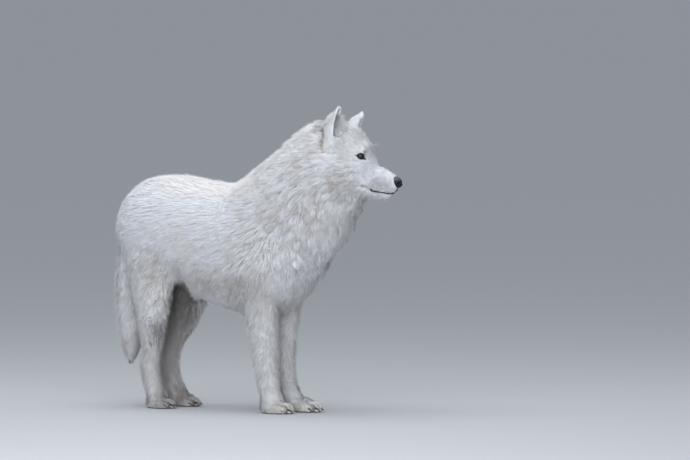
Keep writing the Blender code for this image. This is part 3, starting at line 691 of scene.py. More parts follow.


# Bare skin shows between the toes, inside the ears and round the eyes. Inside the ears its dark also stands
# for painted shade deep in the hollow.
skin_bare_and_shade = np.clip(toe_gap * 1.5 - 0.75, 0, 0.6)
skin_normals = outward_normals(skin_places, skin_corners)
for side in SIDES:
    inside, outward, level = ear_hollow(side, skin_places, skin_normals)
    inside &= (skin_part == "ear_" + side) & (outward > HOLLOW_EDGE) & (level < HOLLOW_TOP)
    hollow = smoothed(inside.astype(float), skin_ends, rounds=2)
    skin_bare_and_shade = np.maximum(skin_bare_and_shade, HOLLOW_BARE_AND_SHADE * hollow)
for side in SIDES:
    offset, along, across = over_eye(side, skin_places)
    reach = np.linalg.norm(offset, axis=1)
    outside = outside_slit(along, across)
    front = (offset @ GAZE[side] > LID_BACK) & (reach < LID_REACH)
    lid = EYE_RADIUS + LID_THICKNESS
    cover = ramp(np.hypot(along, across), *LID_COVER)
    covered = np.where(reach < lid, lid, reach + (lid - reach) * cover * LID_DRAW)
    hood = HOOD_SWELL * hump(outside, *HOOD)
    hooded = np.where((across > 0) & (outside > HOOD_FROM), covered + hood, covered)
    creased = hooded - CREASE_DIP * hump(outside, *CREASE)
    opened = np.where(outside < SLIT_EDGE, BEHIND_EYE, creased)
    moved = EYE_AT[side] + offset * (opened / np.maximum(reach, 1e-6))[:, None]
    skin_places = np.where(front[:, None], moved, skin_places)
    rim = ramp(outside, RIM_WIDTH + UPPER_RIM * (across > 0), -RIM_FADE)
    tear = corner_line(along, across, TEAR_LINE, TEAR_WIDTH)
    outer = corner_line(-along, across - OUTER_RISE, OUTER_LINE, OUTER_WIDTH)
    dark = np.maximum(rim, np.maximum(tear, outer * 0.8))
    skin_bare_and_shade = np.maximum(skin_bare_and_shade, np.where(front, dark, 0))

# The coat fills what lies between this skin and the outline. Under the nose leather the skin
# sinks further, so that the leather alone shows there.
NOSE_AT = (0.1045, 0.0, 0.7262)
UNDER_NOSE = 0.0060
NOSE_BED = (0.0170, -0.0030)  # from here inwards, and to its full depth
LEAST_DEPTH = 0.0010
skin_normals = outward_normals(skin_places, skin_corners)
skin_depth = np.maximum(((outline_places - skin_places) * skin_normals).sum(axis=1), LEAST_DEPTH)
skin_depth *= 1 - 0.7 * toe_gap
skin_length *= 1 - 0.45 * toe_gap
from_nose = np.linalg.norm(skin_places - from_head(NOSE_AT), axis=1)
skin_places -= skin_normals * (UNDER_NOSE * ramp(from_nose, *NOSE_BED))[:, None]
skin_surface = BVHTree.FromPolygons(skin_places.tolist(), skin_corners.tolist())

# The mouth's line is found on the skin by rays that run in towards the middle of the head.
LIP_GROOVE = 0.0022
LIP_GROOVE_WIDTH = 0.0022
LIP_WIDTHS = (  # half widths, from the corner of the mouth to the middle
    0.0002, 0.0006, 0.0022, 0.0044, 0.0020, 0.0033, 0.0032, 0.0020, 0.0016, 0.0014,
)
LIP_SKIN = 0.0006  # bare dark skin beside the lip's edge
LIP_FADE = 0.0008
LIP_REACH = 0.020
FRONT_OF_MOUTH = 0.020  # nearer the middle than this the rays come from the front, else from the side
lip_paths = {}
for side, side_sign in SIDES.items():
    path = []
    for ahead, aside, up in MOUTH_LINE:
        at_front = aside < FRONT_OF_MOUTH
        start = from_head((ahead + 0.02 * at_front, side_sign * (aside + 0.03 * (not at_front)), up))
        target = from_head((min(ahead, 0.080), 0, up))
        hit = skin_surface.ray_cast(Vector(start), Vector(target - start).normalized())[0]
        path.append(np.array(hit if hit is not None else from_head((ahead, side_sign * aside, up))))
    lip_paths[side] = np.array(path)

# Painted shadow: a line of dark bare skin, with short hair beside it, notches the foot of the
# ear's hollow, where its lower rim casts a shadow: ahead, aside, up.
EAR_RIM_SHADOW = (
    (-0.077, 0.068, 0.8980),
    (-0.078, 0.066, 0.8755),
    (-0.068, 0.058, 0.8700),
    (-0.057, 0.049, 0.8760),
)
FOLD_HALF = 0.0052
FOLD_FADE = 0.0012
RIM_SHADOW_BARE = 0.85
FOLD_REACH = 0.030
ear_rim_shadows = {}
for side, side_sign in SIDES.items():
    places = from_head([(ahead, side_sign * aside, up) for ahead, aside, up in EAR_RIM_SHADOW])
    ear_rim_shadows[side] = np.array([skin_surface.find_nearest(Vector(place))[0] for place in places])


def fine_path(path, pieces=12):
    """More places along a path, evenly between the given ones, on a smooth curve."""
    fine = []
    last = len(path) - 1
    for index in range(last):
        before, start, end, after = (path[np.clip(index + step, 0, last)] for step in (-1, 0, 1, 2))
        for t in np.arange(pieces) / pieces:
            slope = (end - before) * t
            bow = (2 * before - 5 * start + 4 * end - after) * t**2
            twist = (3 * start - before - 3 * end + after) * t**3
            fine.append(0.5 * (2 * start + slope + bow + twist))
    fine.append(path[last])
    return np.array(fine)


def shorter_near(gap, least, reach):
    """What is left of the hair near a bare edge: the least part at it, all of it further off."""
    return np.clip(least + gap / reach, least, 1)


for side in SIDES:
    line = fine_path(lip_paths[side])
    line_tree = tree_of(line)
    near = np.flatnonzero(gap_to(skin_places, lip_paths[side]) < LIP_REACH)
    found = [line_tree.find(place) for place in skin_places[near]]
    gap = np.array([distance for _place, _index, distance in found])
    along = np.array([index for _place, index, _distance in found]) / (len(line) - 1)
    half_width = np.interp(along, np.linspace(0, 1, len(LIP_WIDTHS)), LIP_WIDTHS)
    skin_places[near] -= skin_normals[near] * (LIP_GROOVE * hump(gap, 0, LIP_GROOVE_WIDTH))[:, None]
    skin_bare_and_shade[near] = np.maximum(skin_bare_and_shade[near], ramp(gap, half_width + LIP_SKIN, -LIP_FADE))

    # painted shadow under the rim of the ear's hollow, as dark bare skin
    near = np.flatnonzero(gap_to(skin_places, ear_rim_shadows[side]) < FOLD_REACH)
    gap = gap_to(skin_places[near], fine_path(ear_rim_shadows[side], 6))
    skin_bare_and_shade[near] = np.maximum(skin_bare_and_shade[near], RIM_SHADOW_BARE * ramp(gap, FOLD_HALF, -FOLD_FADE))
    skin_length[near] *= shorter_near(gap, 0.25, 0.035)
    skin_depth[near] *= shorter_near(gap, 0.25, 0.025)

# The finished skin gets its own UV map, and an attribute that says where it is bare; inside the ears it
# also marks painted shade.
skin.data.vertices.foreach_set("co", skin_places.ravel())
skin.data.update()
skin_normals = outward_normals(skin_places, skin_corners)
skin.data.shade_smooth()
bpy.ops.object.select_all(action="DESELECT")
skin.select_set(True)
bpy.context.view_layer.objects.active = skin
bpy.ops.object.mode_set(mode="EDIT")
bpy.ops.mesh.select_all(action="SELECT")
skin.data.uv_layers.new(name="OFBake")
bpy.ops.uv.smart_project(angle_limit=math.radians(75), island_margin=0.001)
bpy.ops.object.mode_set(mode="OBJECT")
skin_uvs = np.empty(len(skin.data.loops) * 2)
skin.data.uv_layers["OFBake"].data.foreach_get("uv", skin_uvs)
skin_uvs = skin_uvs.reshape(-1, 3, 2)
bare = skin.data.attributes.new("bare", "FLOAT", "POINT")
bare.data.foreach_set("value", skin_bare_and_shade)


# ---- Skin: colour ---------------------------------------------------------------------------
# The coat is a cool white with warm grey between its locks, partly its undercoat and partly
# painted shade. It is greyer on forehead and nape, with painted shade on the muzzle's side and
# over the inner brows and painted light on the breast. It is tan behind the ears and on the
# forefeet, dark inside the hind legs, partly a stain and partly painted shade, and stained dark
# on the hind feet. Skin and coat share these markings.
WHITE = (0.78, 0.80, 0.84, 1)
WARM_WHITE = (0.74, 0.725, 0.71, 1)
UNDERCOAT = (0.66, 0.64, 0.62, 1)
CLEFT = (0.43, 0.39, 0.355, 1)  # the undercoat where the locks part widest; its darkness there is partly painted shade
DARK_SKIN = (0.018, 0.016, 0.016, 1)
HEAD_MARKINGS = {  # place in the head's frame, half sizes, colour, strength
    "face_cool": ((0.020, 0.035, 0.770), (0.090, 0.060, 0.070), (0.83, 0.86, 0.96, 1), 0.50),
    "mouth_corner": ((0.006, 0.050, 0.7150), (0.012, 0.012, 0.0040), (0.30, 0.30, 0.32, 1), 0.60),
    "behind_ear": ((-0.119, 0.083, 0.862), (0.022, 0.026, 0.036), (0.60, 0.545, 0.48, 1), 0.55),
    "behind_ear_streak": ((-0.117, 0.083, 0.864), (0.007, 0.022, 0.020), (0.25, 0.19, 0.14, 1), 0.75),
    "ear_grey": ((-0.088, 0.066, 0.912), (0.030, 0.030, 0.045), (0.50, 0.50, 0.51, 1), 0.22),
    "cheek_shade": ((-0.062, 0.092, 0.735), (0.036, 0.040, 0.046), (0.46, 0.445, 0.435, 1), 0.45),
    "temple_shade": ((-0.055, 0.070, 0.820), (0.030, 0.030, 0.030), (0.58, 0.57, 0.57, 1), 0.30),
    # painted shade in the dip between brow and stop, by the eye's inner corner
    "inner_brow": ((0.012, 0.030, 0.818), (0.012, 0.012, 0.010), (0.52, 0.52, 0.54, 1), 0.30),
    # painted shade greys the side of the muzzle
    "muzzle_grey": ((0.062, 0.030, 0.722), (0.040, 0.026, 0.028), (0.52, 0.535, 0.58, 1), 0.85),
    "forehead_grey": ((-0.040, 0.020, 0.862), (0.040, 0.040, 0.036), (0.57, 0.58, 0.61, 1), 0.55),
    "nape_grey": ((-0.145, 0.030, 0.905), (0.034, 0.046, 0.034), (0.50, 0.495, 0.49, 1), 0.60),
}
BODY_MARKINGS = {
    # dark at the groin and inside the thighs: partly a stain, partly painted shade
    "groin": ((-0.300, 0.008, 0.315), (0.092, 0.056, 0.155), (0.115, 0.105, 0.105, 1), 0.85),
    # painted shade on the inner sides of the hind legs
    "inner_leg": ((-0.335, 0.030, 0.170), (0.064, 0.030, 0.160), (0.27, 0.26, 0.265, 1), 0.75),
    "gaskin_streak": ((-0.312, 0.090, 0.232), (0.024, 0.034, 0.044), (0.10, 0.09, 0.09, 1), 0.70),
    "tail_white": ((-0.480, 0.000, 0.370), (0.060, 0.090, 0.260), (0.90, 0.905, 0.97, 1), 0.65),
    "forefoot": ((0.160, 0.060, 0.010), (0.070, 0.060, 0.034), (0.50, 0.45, 0.40, 1), 0.60),
    "hindfoot": ((-0.290, 0.060, 0.010), (0.075, 0.055, 0.062), (0.25, 0.225, 0.21, 1), 0.72),
    "saddle": ((-0.140, 0.040, 0.720), (0.260, 0.120, 0.080), (0.82, 0.79, 0.755, 1), 0.50),
    # painted light whitens the breast, which faces down, away from the lamps
    "breast_white": ((0.250, 0.040, 0.480), (0.090, 0.090, 0.100), (0.88, 0.895, 0.96, 1), 0.75),
    "foreleg_cool": ((0.070, 0.070, 0.210), (0.070, 0.070, 0.180), (0.95, 0.97, 1.0, 1), 0.85),
    "flank_shade": ((-0.060, 0.110, 0.400), (0.140, 0.060, 0.070), (0.60, 0.57, 0.54, 1), 0.35),
}
STREAKINESS = 5.0  # how far fine noise breaks up the markings named streak
PATCH_EDGE = 0.85  # where a patch ends, for its half sizes
PATCH_FADE = 0.35
UNDER_DARKER = 0.6  # the undercoat's colour under a marking, for the marking's own
# where the undercoat darkens to the cleft colour, which is partly painted shade between the locks
CLEFTS = {  # middle, half sizes, strength
    "neck": ((0.210, 0.110, 0.700), (0.130, 0.090, 0.130), 1.0),
    "shoulder": ((0.080, 0.130, 0.560), (0.130, 0.070, 0.110), 0.7),
    "flank": ((-0.100, 0.110, 0.430), (0.180, 0.060, 0.090), 0.8),
    "thigh": ((-0.310, 0.100, 0.430), (0.100, 0.060, 0.120), 0.7),
    "croup": ((-0.350, 0.110, 0.580), (0.050, 0.050, 0.080), 0.6),
}


def wire(tree, source, target):
    tree.links.new(source, target)


def add_node(tree, kind, **settings):
    node = tree.nodes.new(kind)
    for name, value in settings.items():
        setattr(node, name, value)
    return node


def object_position(tree):
    return add_node(tree, "ShaderNodeTexCoord").outputs["Object"]


def height_of(tree, position):
    split = add_node(tree, "ShaderNodeSeparateXYZ")
    wire(tree, position, split.inputs["Vector"])
    return split.outputs["Z"]


def soft_noise(tree, position, scale, detail, stretch=None):
    """Noise from 0 to 1 at a place, stretched along the axes where asked."""
    noise = add_node(tree, "ShaderNodeTexNoise")
    noise.inputs["Scale"].default_value = scale
    noise.inputs["Detail"].default_value = detail
    if stretch is not None:
        mapping = add_node(tree, "ShaderNodeMapping")
        mapping.inputs["Scale"].default_value = stretch
        wire(tree, position, mapping.inputs["Vector"])
        position = mapping.outputs["Vector"]
    wire(tree, position, noise.inputs["Vector"])
    return noise.outputs["Fac"]


def mixed(tree, factor, first, second):
    """Mix two colours; each may be a socket or a fixed colour."""
    mix = add_node(tree, "ShaderNodeMix", data_type="RGBA")
    factor_in, first_in, second_in = mix.inputs[0], mix.inputs[6], mix.inputs[7]
    for value, socket in ((factor, factor_in), (first, first_in), (second, second_in)):
        if isinstance(value, bpy.types.NodeSocket):
            wire(tree, value, socket)
        else:
            socket.default_value = value
    return mix.outputs[2]


def ranged(tree, value, low, high, to_low=0.0, to_high=1.0):
    """Bring a value from one range smoothly to another."""
    change = add_node(tree, "ShaderNodeMapRange", interpolation_type="SMOOTHSTEP")
    change.inputs["From Min"].default_value = low
    change.inputs["From Max"].default_value = high
    change.inputs["To Min"].default_value = to_low
    change.inputs["To Max"].default_value = to_high
    wire(tree, value, change.inputs["Value"])
    return change.outputs["Result"]


def patch_mask(tree, position, centre, half_sizes, strength, ragged, raggedness=2.0):
    """The strength inside a rounded patch, fading at its edge, which noise makes ragged."""
    shift = add_node(tree, "ShaderNodeVectorMath", operation="SUBTRACT")
    shift.inputs[1].default_value = centre
    wire(tree, position, shift.inputs[0])
    shrink = add_node(tree, "ShaderNodeVectorMath", operation="DIVIDE")
    shrink.inputs[1].default_value = half_sizes
    wire(tree, shift.outputs["Vector"], shrink.inputs[0])
    distance = add_node(tree, "ShaderNodeVectorMath", operation="LENGTH")
    wire(tree, shrink.outputs["Vector"], distance.inputs[0])
    rough = add_node(tree, "ShaderNodeMath", operation="MULTIPLY_ADD")
    rough.inputs[1].default_value = raggedness
    wire(tree, ragged, rough.inputs[0])
    wire(tree, distance.outputs["Value"], rough.inputs[2])
    edge = 0.5 * raggedness + PATCH_EDGE
    return ranged(tree, rough.outputs["Value"], edge + PATCH_FADE, edge - PATCH_FADE, to_high=strength)


def coat_markings():
    """The colours of the hair's tips and of the undercoat, over the whole wolf."""
    group = bpy.data.node_groups.new("coat_markings", "ShaderNodeTree")
    group.interface.new_socket("Tips", in_out="OUTPUT", socket_type="NodeSocketColor")
    group.interface.new_socket("Undercoat", in_out="OUTPUT", socket_type="NodeSocketColor")
    output = group.nodes.new("NodeGroupOutput")
    position = object_position(group)
    clouds = soft_noise(group, position, scale=7.0, detail=3.0)
    streaks = soft_noise(group, position, scale=38.0, detail=3.0, stretch=(1.0, 1.0, 0.35))
    broad = soft_noise(group, position, scale=30.0, detail=4.0, stretch=(1.0, 1.0, 0.45))
    fine = soft_noise(group, position, scale=170.0, detail=2.0, stretch=(1.0, 1.0, 0.22))
    both = add_node(group, "ShaderNodeMix", data_type="FLOAT")
    both.inputs["Factor"].default_value = 0.45
    wire(group, broad, both.inputs["A"])
    wire(group, fine, both.inputs["B"])
    ragged = both.outputs["Result"]
    tips = mixed(group, ranged(group, clouds, 0.42, 0.72, to_high=0.55), WHITE, WARM_WHITE)
    tips = mixed(group, ranged(group, streaks, 0.52, 0.75, to_high=0.22), tips, UNDERCOAT)
    under = mixed(group, ranged(group, clouds, 0.35, 0.70, to_high=0.5), UNDERCOAT, WARM_WHITE)
    for side_sign in SIDES.values():
        for place, half_sizes, strength in CLEFTS.values():
            centre = mirrored(place, side_sign)
            mask = patch_mask(group, position, centre, half_sizes, strength, broad)
            under = mixed(group, mask, under, CLEFT)
    patches = []
    for side_sign in SIDES.values():
        for name, (place, *look) in HEAD_MARKINGS.items():
            patches.append((name, from_head(mirrored(place, side_sign)), *look))
        for name, (place, *look) in BODY_MARKINGS.items():
            patches.append((name, mirrored(place, side_sign), *look))
    for name, centre, half_sizes, colour, strength in patches:
        if "streak" in name:
            mask = patch_mask(group, position, centre, half_sizes, strength, fine, STREAKINESS)
        else:
            mask = patch_mask(group, position, centre, half_sizes, strength, ragged)
        tips = mixed(group, mask, tips, colour)
        darker = [channel * UNDER_DARKER for channel in colour[:3]] + [1]
        under = mixed(group, mask, under, darker)
    wire(group, tips, output.inputs["Tips"])
    wire(group, under, output.inputs["Undercoat"])
    return group


markings = coat_markings()


def new_material(name, roughness, specular=0.5):
    """A material, with its tree and its Principled shader."""
    material = bpy.data.materials.new(name)
    material.use_nodes = True
    shader = material.node_tree.nodes["Principled BSDF"]
    shader.inputs["Roughness"].default_value = roughness
    shader.inputs["Specular IOR Level"].default_value = specular
    return material, material.node_tree, shader


def attribute(tree, name):
    return add_node(tree, "ShaderNodeAttribute", attribute_name=name).outputs["Fac"]


def bumped(tree, shader, height, strength, distance):
    bump = add_node(tree, "ShaderNodeBump")
    bump.inputs["Strength"].default_value = strength
    bump.inputs["Distance"].default_value = distance
    wire(tree, height, bump.inputs["Height"])
    wire(tree, bump.outputs["Normal"], shader.inputs["Normal"])


def hide_material():
    """Short dense undercoat, and dark bare skin on lids, lips, soles and inside the ears, where it is
    partly painted shade.
    """
    material, tree, shader = new_material("hide", 0.9, 0.2)
    colours = add_node(tree, "ShaderNodeGroup", node_tree=markings)
    position = object_position(tree)
    short_hair = soft_noise(tree, position, scale=420.0, detail=3.0, stretch=(0.35, 1.0, 1.0))
    shade = mixed(tree, 0.35, colours.outputs["Undercoat"], colours.outputs["Tips"])
    between = ranged(tree, short_hair, 0.35, 0.7, to_high=0.4)
    shade = mixed(tree, between, shade, colours.outputs["Undercoat"])
    sole = ranged(tree, height_of(tree, position), 0.006, 0.002)
    shade = mixed(tree, sole, shade, DARK_SKIN)
    # bare skin is dark; inside the ears the same dark is partly painted shade
    bare_and_shade = attribute(tree, "bare")
    wire(tree, mixed(tree, bare_and_shade, shade, DARK_SKIN), shader.inputs["Base Color"])
    wire(tree, ranged(tree, bare_and_shade, 0.2, 1.0, 0.9, 0.38), shader.inputs["Roughness"])
    bumped(tree, shader, short_hair, 0.5, 0.002)
    return material


skin.data.materials.clear()
skin.data.materials.append(hide_material())
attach(skin, "root")
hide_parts(*FLESH)


# ---- Eyes -----------------------------------------------------------------------------------
# A dark brown iris lies round a black pupil, under a slightly bulging wet cornea. Each eye is
# one ball, turned to look where the head looks, and sits in its socket behind the lids.
LOOK = {side: unit(head_direction((0.84, sign * 0.54, 0.02))) for side, sign in SIDES.items()}
CORNEA_RADIUS = 0.0085
CORNEA_BULGE = 0.0007
IRIS_RINGS = (  # how far from the pupil's middle, for the eye's radius, and the colour there
    (0.20, (0.004, 0.004, 0.004, 1)),
    (0.24, (0.022, 0.013, 0.007, 1)),
    (0.40, (0.022, 0.015, 0.011, 1)),
    (0.50, (0.012, 0.008, 0.006, 1)),
    (0.56, (0.008, 0.007, 0.007, 1)),
    (0.80, (0.014, 0.011, 0.011, 1)),
)
IRIS_FIBRE = (0.01, 0.008, 0.006, 1)


def smooth_piece(name, shape):
    piece = new_piece(name, shape)
    piece.data.shade_smooth()
    return piece


def eyeball(side):
    form = bmesh.new()
    bmesh.ops.create_uvsphere(form, u_segments=48, v_segments=32, radius=EYE_RADIUS)
    turn = Vector(LOOK[side]).to_track_quat("Z", "Y").to_matrix()
    from_pupil = form.verts.layers.float.new("from_pupil")
    for vertex in form.verts:
        aside = math.hypot(vertex.co.x, vertex.co.y)
        forward = vertex.co.z > 0
        vertex[from_pupil] = aside / EYE_RADIUS if forward else 1.0
        if forward and aside < CORNEA_RADIUS:
            rise = math.cos(aside / CORNEA_RADIUS * math.pi / 2) ** 2
            vertex.co += vertex.co.normalized() * CORNEA_BULGE * rise
        vertex.co = turn @ vertex.co + Vector(EYE_AT[side])
    return smooth_piece("eyeball_" + side, form)


def iris_material():
    """Rings of colour round the pupil, with fine fibres, under a wet surface."""
    material, tree, shader = new_material("wet_eye", 0.05, 0.25)
    shader.inputs["Coat Weight"].default_value = 0.2
    shader.inputs["Coat Roughness"].default_value = 0.02
    rings = add_node(tree, "ShaderNodeValToRGB")
    stops = rings.color_ramp.elements
    stops[0].position, stops[0].color = IRIS_RINGS[0]
    stops[1].position, stops[1].color = IRIS_RINGS[1]
    for place, colour in IRIS_RINGS[2:]:
        stops.new(place).color = colour
    wire(tree, attribute(tree, "from_pupil"), rings.inputs["Fac"])
    noise = soft_noise(tree, object_position(tree), scale=900.0, detail=2.0)
    fibres = ranged(tree, noise, 0.4, 0.7, to_high=0.5)
    wire(tree, mixed(tree, fibres, rings.outputs["Color"], IRIS_FIBRE), shader.inputs["Base Color"])
    return material


wet_eye = iris_material()
for side in SIDES:
    ball = eyeball(side)
    ball.data.materials.append(wet_eye)
    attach(ball, "root")
    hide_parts("eye_" + side)


# ---- Nose -----------------------------------------------------------------------------------
# The nose leather is a black, finely pebbled pad with two comma-shaped nostrils that open to
# the front and slit round to the sides, and a groove down its middle to the upper lip.
NOSE_HALF = (0.0160, 0.0185, 0.0180)
NOSTRIL = [  # ahead, aside, up within the pad, for each half size; and how wide the dent is
    (0.80, 0.42, 0.02, 0.0042),
    (0.74, 0.60, -0.08, 0.0034),
    (0.60, 0.78, -0.16, 0.0026),
    (0.42, 0.92, -0.22, 0.0018),
]
NOSTRIL_DEPTH = 0.0055
PAD_BOXINESS = 2.3  # two would be round
PAD_TAPER = 0.16  # the pad narrows by this towards its underside
UPPER_SLOPE = 0.05  # its front slopes back a little above its middle, and more below
LOWER_SLOPE = 0.46
TOP_SLOPE = 0.34  # its top falls towards the front
GROOVE_HALF = 0.0011
GROOVE_DEPTH = 0.0012
GROOVE_TOP = 0.35  # the groove begins at this height, for the pad's half height
PEBBLE_BLACK = (0.014, 0.014, 0.017, 1)
PEBBLE_GAP = (0.005, 0.005, 0.006, 1)
PAINTED_SHEEN = (0.085, 0.082, 0.110, 1)  # painted sheen on the pad's upper face, paler and bluer
SHEEN_FROM = 0.728  # height at which it begins
SHEEN_FULL = 0.740


def nose_leather():
    form = bmesh.new()
    bmesh.ops.create_icosphere(form, subdivisions=6, radius=1.0)
    half = Vector(NOSE_HALF)
    for vertex in form.verts:
        direction = vertex.co.copy()
        boxy = sum(abs(value) ** PAD_BOXINESS for value in direction) ** (-1 / PAD_BOXINESS)
        place = Vector(direction * boxy)
        place.y *= 1.0 - PAD_TAPER * max(-place.z, 0.0)
        place.x -= UPPER_SLOPE * max(place.z, 0.0) + LOWER_SLOPE * max(-place.z, 0.0)
        place.z -= TOP_SLOPE * place.x
        sunk = 0.0
        for side_sign in SIDES.values():
            for ahead, aside, up, width in NOSTRIL:
                gap = (place - Vector((ahead, side_sign * aside, up))) * half
                sunk = max(sunk, math.exp(-((gap.length / width) ** 2)))
        groove = math.exp(-((place.y * half.y / GROOVE_HALF) ** 2))
        groove *= min(max(GROOVE_TOP - place.z, 0.0) * 2, 1.0)
        groove *= place.x > 0.2
        inward = direction.normalized()
        place = place * half - inward * (NOSTRIL_DEPTH * sunk + GROOVE_DEPTH * groove)
        vertex.co = Vector(from_head(np.array(NOSE_AT) + np.array(place)))
    return smooth_piece("nose_leather", form)


def leather_material():
    """Black pebbled leather, a little moist, with a painted sheen on its upper face."""
    material, tree, shader = new_material("nose_leather", 0.55, 0.3)
    position = object_position(tree)
    pebbles = add_node(tree, "ShaderNodeTexVoronoi")
    pebbles.inputs["Scale"].default_value = 850.0
    wire(tree, position, pebbles.inputs["Vector"])
    between = ranged(tree, pebbles.outputs["Distance"], 0.0, 0.6)
    shade = mixed(tree, between, PEBBLE_BLACK, PEBBLE_GAP)
    # painted sheen: the leather turns paler and bluer towards the top of the pad
    upper = ranged(tree, height_of(tree, position), SHEEN_FROM, SHEEN_FULL)
    wire(tree, mixed(tree, upper, shade, PAINTED_SHEEN), shader.inputs["Base Color"])
    damp = soft_noise(tree, position, scale=200.0, detail=2.0)
    wire(tree, ranged(tree, damp, 0.3, 0.7, 0.48, 0.62), shader.inputs["Roughness"])
    bumped(tree, shader, pebbles.outputs["Distance"], 0.35, 0.0006)
    return material


leather = leather_material()
nose = nose_leather()
nose.data.materials.append(leather)
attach(nose, "root")
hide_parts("nose")


# ---- Lips -----------------------------------------------------------------------------------
# The bare edge of the lips shows as a dark line along the closed mouth. It lies in the groove of
# the skin, is widest near the corner of the mouth, and is of the same leather as the nose.
LIP_SECTION = 8  # places round the lip's edge
LIP_STAND = 0.0012  # how far its middle stands off the bottom of the groove
LIP_FLATNESS = 0.8


def ring_round(form, centre, across, upward, count):
    """Add a ring of vertices round a centre, with its two half axes given."""
    angles = (math.tau * index / count for index in range(count))
    return [
        form.verts.new(centre + across * math.cos(angle) + upward * math.sin(angle))
        for angle in angles
    ]


def close_tube(form, rings):
    """Join rings of vertices into a tube with closed ends."""
    for ring, following in zip(rings, rings[1:]):
        for index in range(len(ring)):
            after = (index + 1) % len(ring)
            form.faces.new((ring[index], ring[after], following[after], following[index]))
    form.faces.new(rings[0])
    form.faces.new(rings[-1])


def lip_edge(side):
    path = fine_path(lip_paths[side], 6)
    widths = np.interp(np.linspace(0, 1, len(path)), np.linspace(0, 1, len(LIP_WIDTHS)), LIP_WIDTHS)
    headings = unit(np.gradient(path, axis=0))
    form = bmesh.new()
    rings = []
    for place, heading, width in zip(path, headings, widths):
        normal = skin_surface.find_nearest(Vector(place))[1].normalized()
        across = Vector(heading).cross(normal).normalized()
        centre = Vector(place) + normal * LIP_STAND
        outward = normal * width * LIP_FLATNESS
        rings.append(ring_round(form, centre, across * width, outward, LIP_SECTION))
    close_tube(form, rings)
    bmesh.ops.recalc_face_normals(form, faces=form.faces)
    return smooth_piece("lip_" + side, form)


for side in SIDES:
    lip = lip_edge(side)
    lip.data.materials.append(leather)
    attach(lip, "root")


# ---- Coat -----------------------------------------------------------------------------------
# Guard hair grows in fine tufts, rooted in the skin and combed over it, so that their tips make
# the outline of the wolf. Neighbouring tufts gather into locks, most of all on neck and breast.
# Long tufts bend once on their way; the short hair of face, ears, legs and feet is straight.
BARE_LIMIT = 0.35  # skin barer than this has no hair
NOSE_BARE = 0.0175  # nor has it this near to the middle of the nose leather
LID_BARE = 0.0022  # or to the edge of a lid
BLUNT_END = 0.6  # or where the tail ends and its lie points this much straight out
EYE_REACH = 0.035  # hair is shorter this near to the middle of the eye
LIP_BARE = 0.003
skin_tree = tree_of(skin_places)
corner_places = skin_places[skin_corners]
first_edges = corner_places[:, 1] - corner_places[:, 0]
second_edges = corner_places[:, 2] - corner_places[:, 0]
face_areas = np.linalg.norm(np.cross(first_edges, second_edges), axis=1) / 2
face_part = skin_part[skin_corners[:, 0]]
face_middles = corner_places.mean(axis=1)
haired = skin_bare_and_shade[skin_corners].max(axis=1) < BARE_LIMIT
haired &= face_middles[:, 2] > SOLE_HEIGHT
haired &= np.linalg.norm(face_middles - from_head(NOSE_AT), axis=1) > NOSE_BARE
outward_lie = (skin_lie * skin_normals).sum(axis=1) / np.linalg.norm(skin_lie, axis=1)
haired &= ~((face_part == "tail") & (outward_lie[skin_corners[:, 0]] > BLUNT_END))
for side in SIDES:
    offset, along, across = over_eye(side, face_middles)
    near_lid = (offset @ GAZE[side] > -0.004) & (np.linalg.norm(offset, axis=1) < LID_REACH)
    haired &= ~(near_lid & (outside_slit(along, across) < LID_BARE))

# The hair is shorter round the eyes and along the lips.
for side in SIDES:
    offset, along, across = over_eye(side, skin_places)
    room = outside_slit(along, across) - RIM_WIDTH
    near_eye = np.linalg.norm(offset, axis=1) < EYE_REACH
    skin_length *= np.where(near_eye, shorter_near(room, 0.25, 0.012), 1)
    near = np.flatnonzero(gap_to(skin_places, lip_paths[side]) < LIP_REACH)
    gap = gap_to(skin_places[near], fine_path(lip_paths[side], 4)) - LIP_BARE
    skin_length[near] *= shorter_near(gap, 0.16, 0.012)

# How the tufts vary, bend, gather and shade.
LENGTHS = (0.72, 1.15)  # least and greatest, for the length that the guides give
WIDTHS = (0.60, 1.15)
REACHES = (-0.24, 0.08)  # how far the tips stay below the coat's surface or pass it
RING_WIDTHS = (0.7, 1.0)  # of a bent tuft at its root and its bend
TUFT_TALLNESS = 0.35  # how thick a tuft is for its width, where full locks form
LEAST_TALLNESS = 0.35  # and what is left of that where none form
TALLNESS_GAIN = 1.6
RISE = (-0.04, 0.62, 1.0)  # height of a tuft's root, bend and tip, for the depth of the coat
SHORT = (RISE[0], RISE[-1])  # short hair runs straight from its root to its tip
OVER = (0.30, 1.04)  # fine guard hair veils the locks
PULL = (0.0, 0.55, 1.0)  # how far locking has drawn a tuft together at root, bend and tip
TIGHTNESS = 0.72  # how small a lock becomes at its tip
MOST_LOCKING = 0.9
PARTING = 0.62  # how far from its middle a lock parts from the next, for the size of a lock
FOLLOW = 0.85  # how closely a tuft follows the form of the body under it
LEANING = 0.35  # hair is held down less where its lie is this near to straight out of the skin
STRAYS = 0.18  # share of thin hairs that stand out of the coat
STRAY_WIDTH = 0.55
STRAY_LIFT = 0.17
HAIR_LIFT = 0.10  # how far a tuft's tip stands up, on average, for its length
OWN_LIFT = 0.4  # how much a tuft lifts apart from its lock
MOST_LIFT = 0.0075
ROUGH_FROM = 0.3  # where tufts lock less than this, their tips lie more evenly
TONED_FROM = 0.4  # and where they lock less than this, they differ less in tone
LOWEST_HAIR = 0.0020
CALM = 0.94  # how much the shading of a tuft takes from the form of the body, where no locks form
UNRULY = 0.85  # how much of that is lost to full locking
LEAST_CALM = 0.35
ROOT_SHADE = 0.15  # how much of the undercoat's colour shows at the roots where no locks form
SHORT_ROOT_TONE = 0.42  # short hair is pale nearly down to the skin
UV_PATCH = 0.003


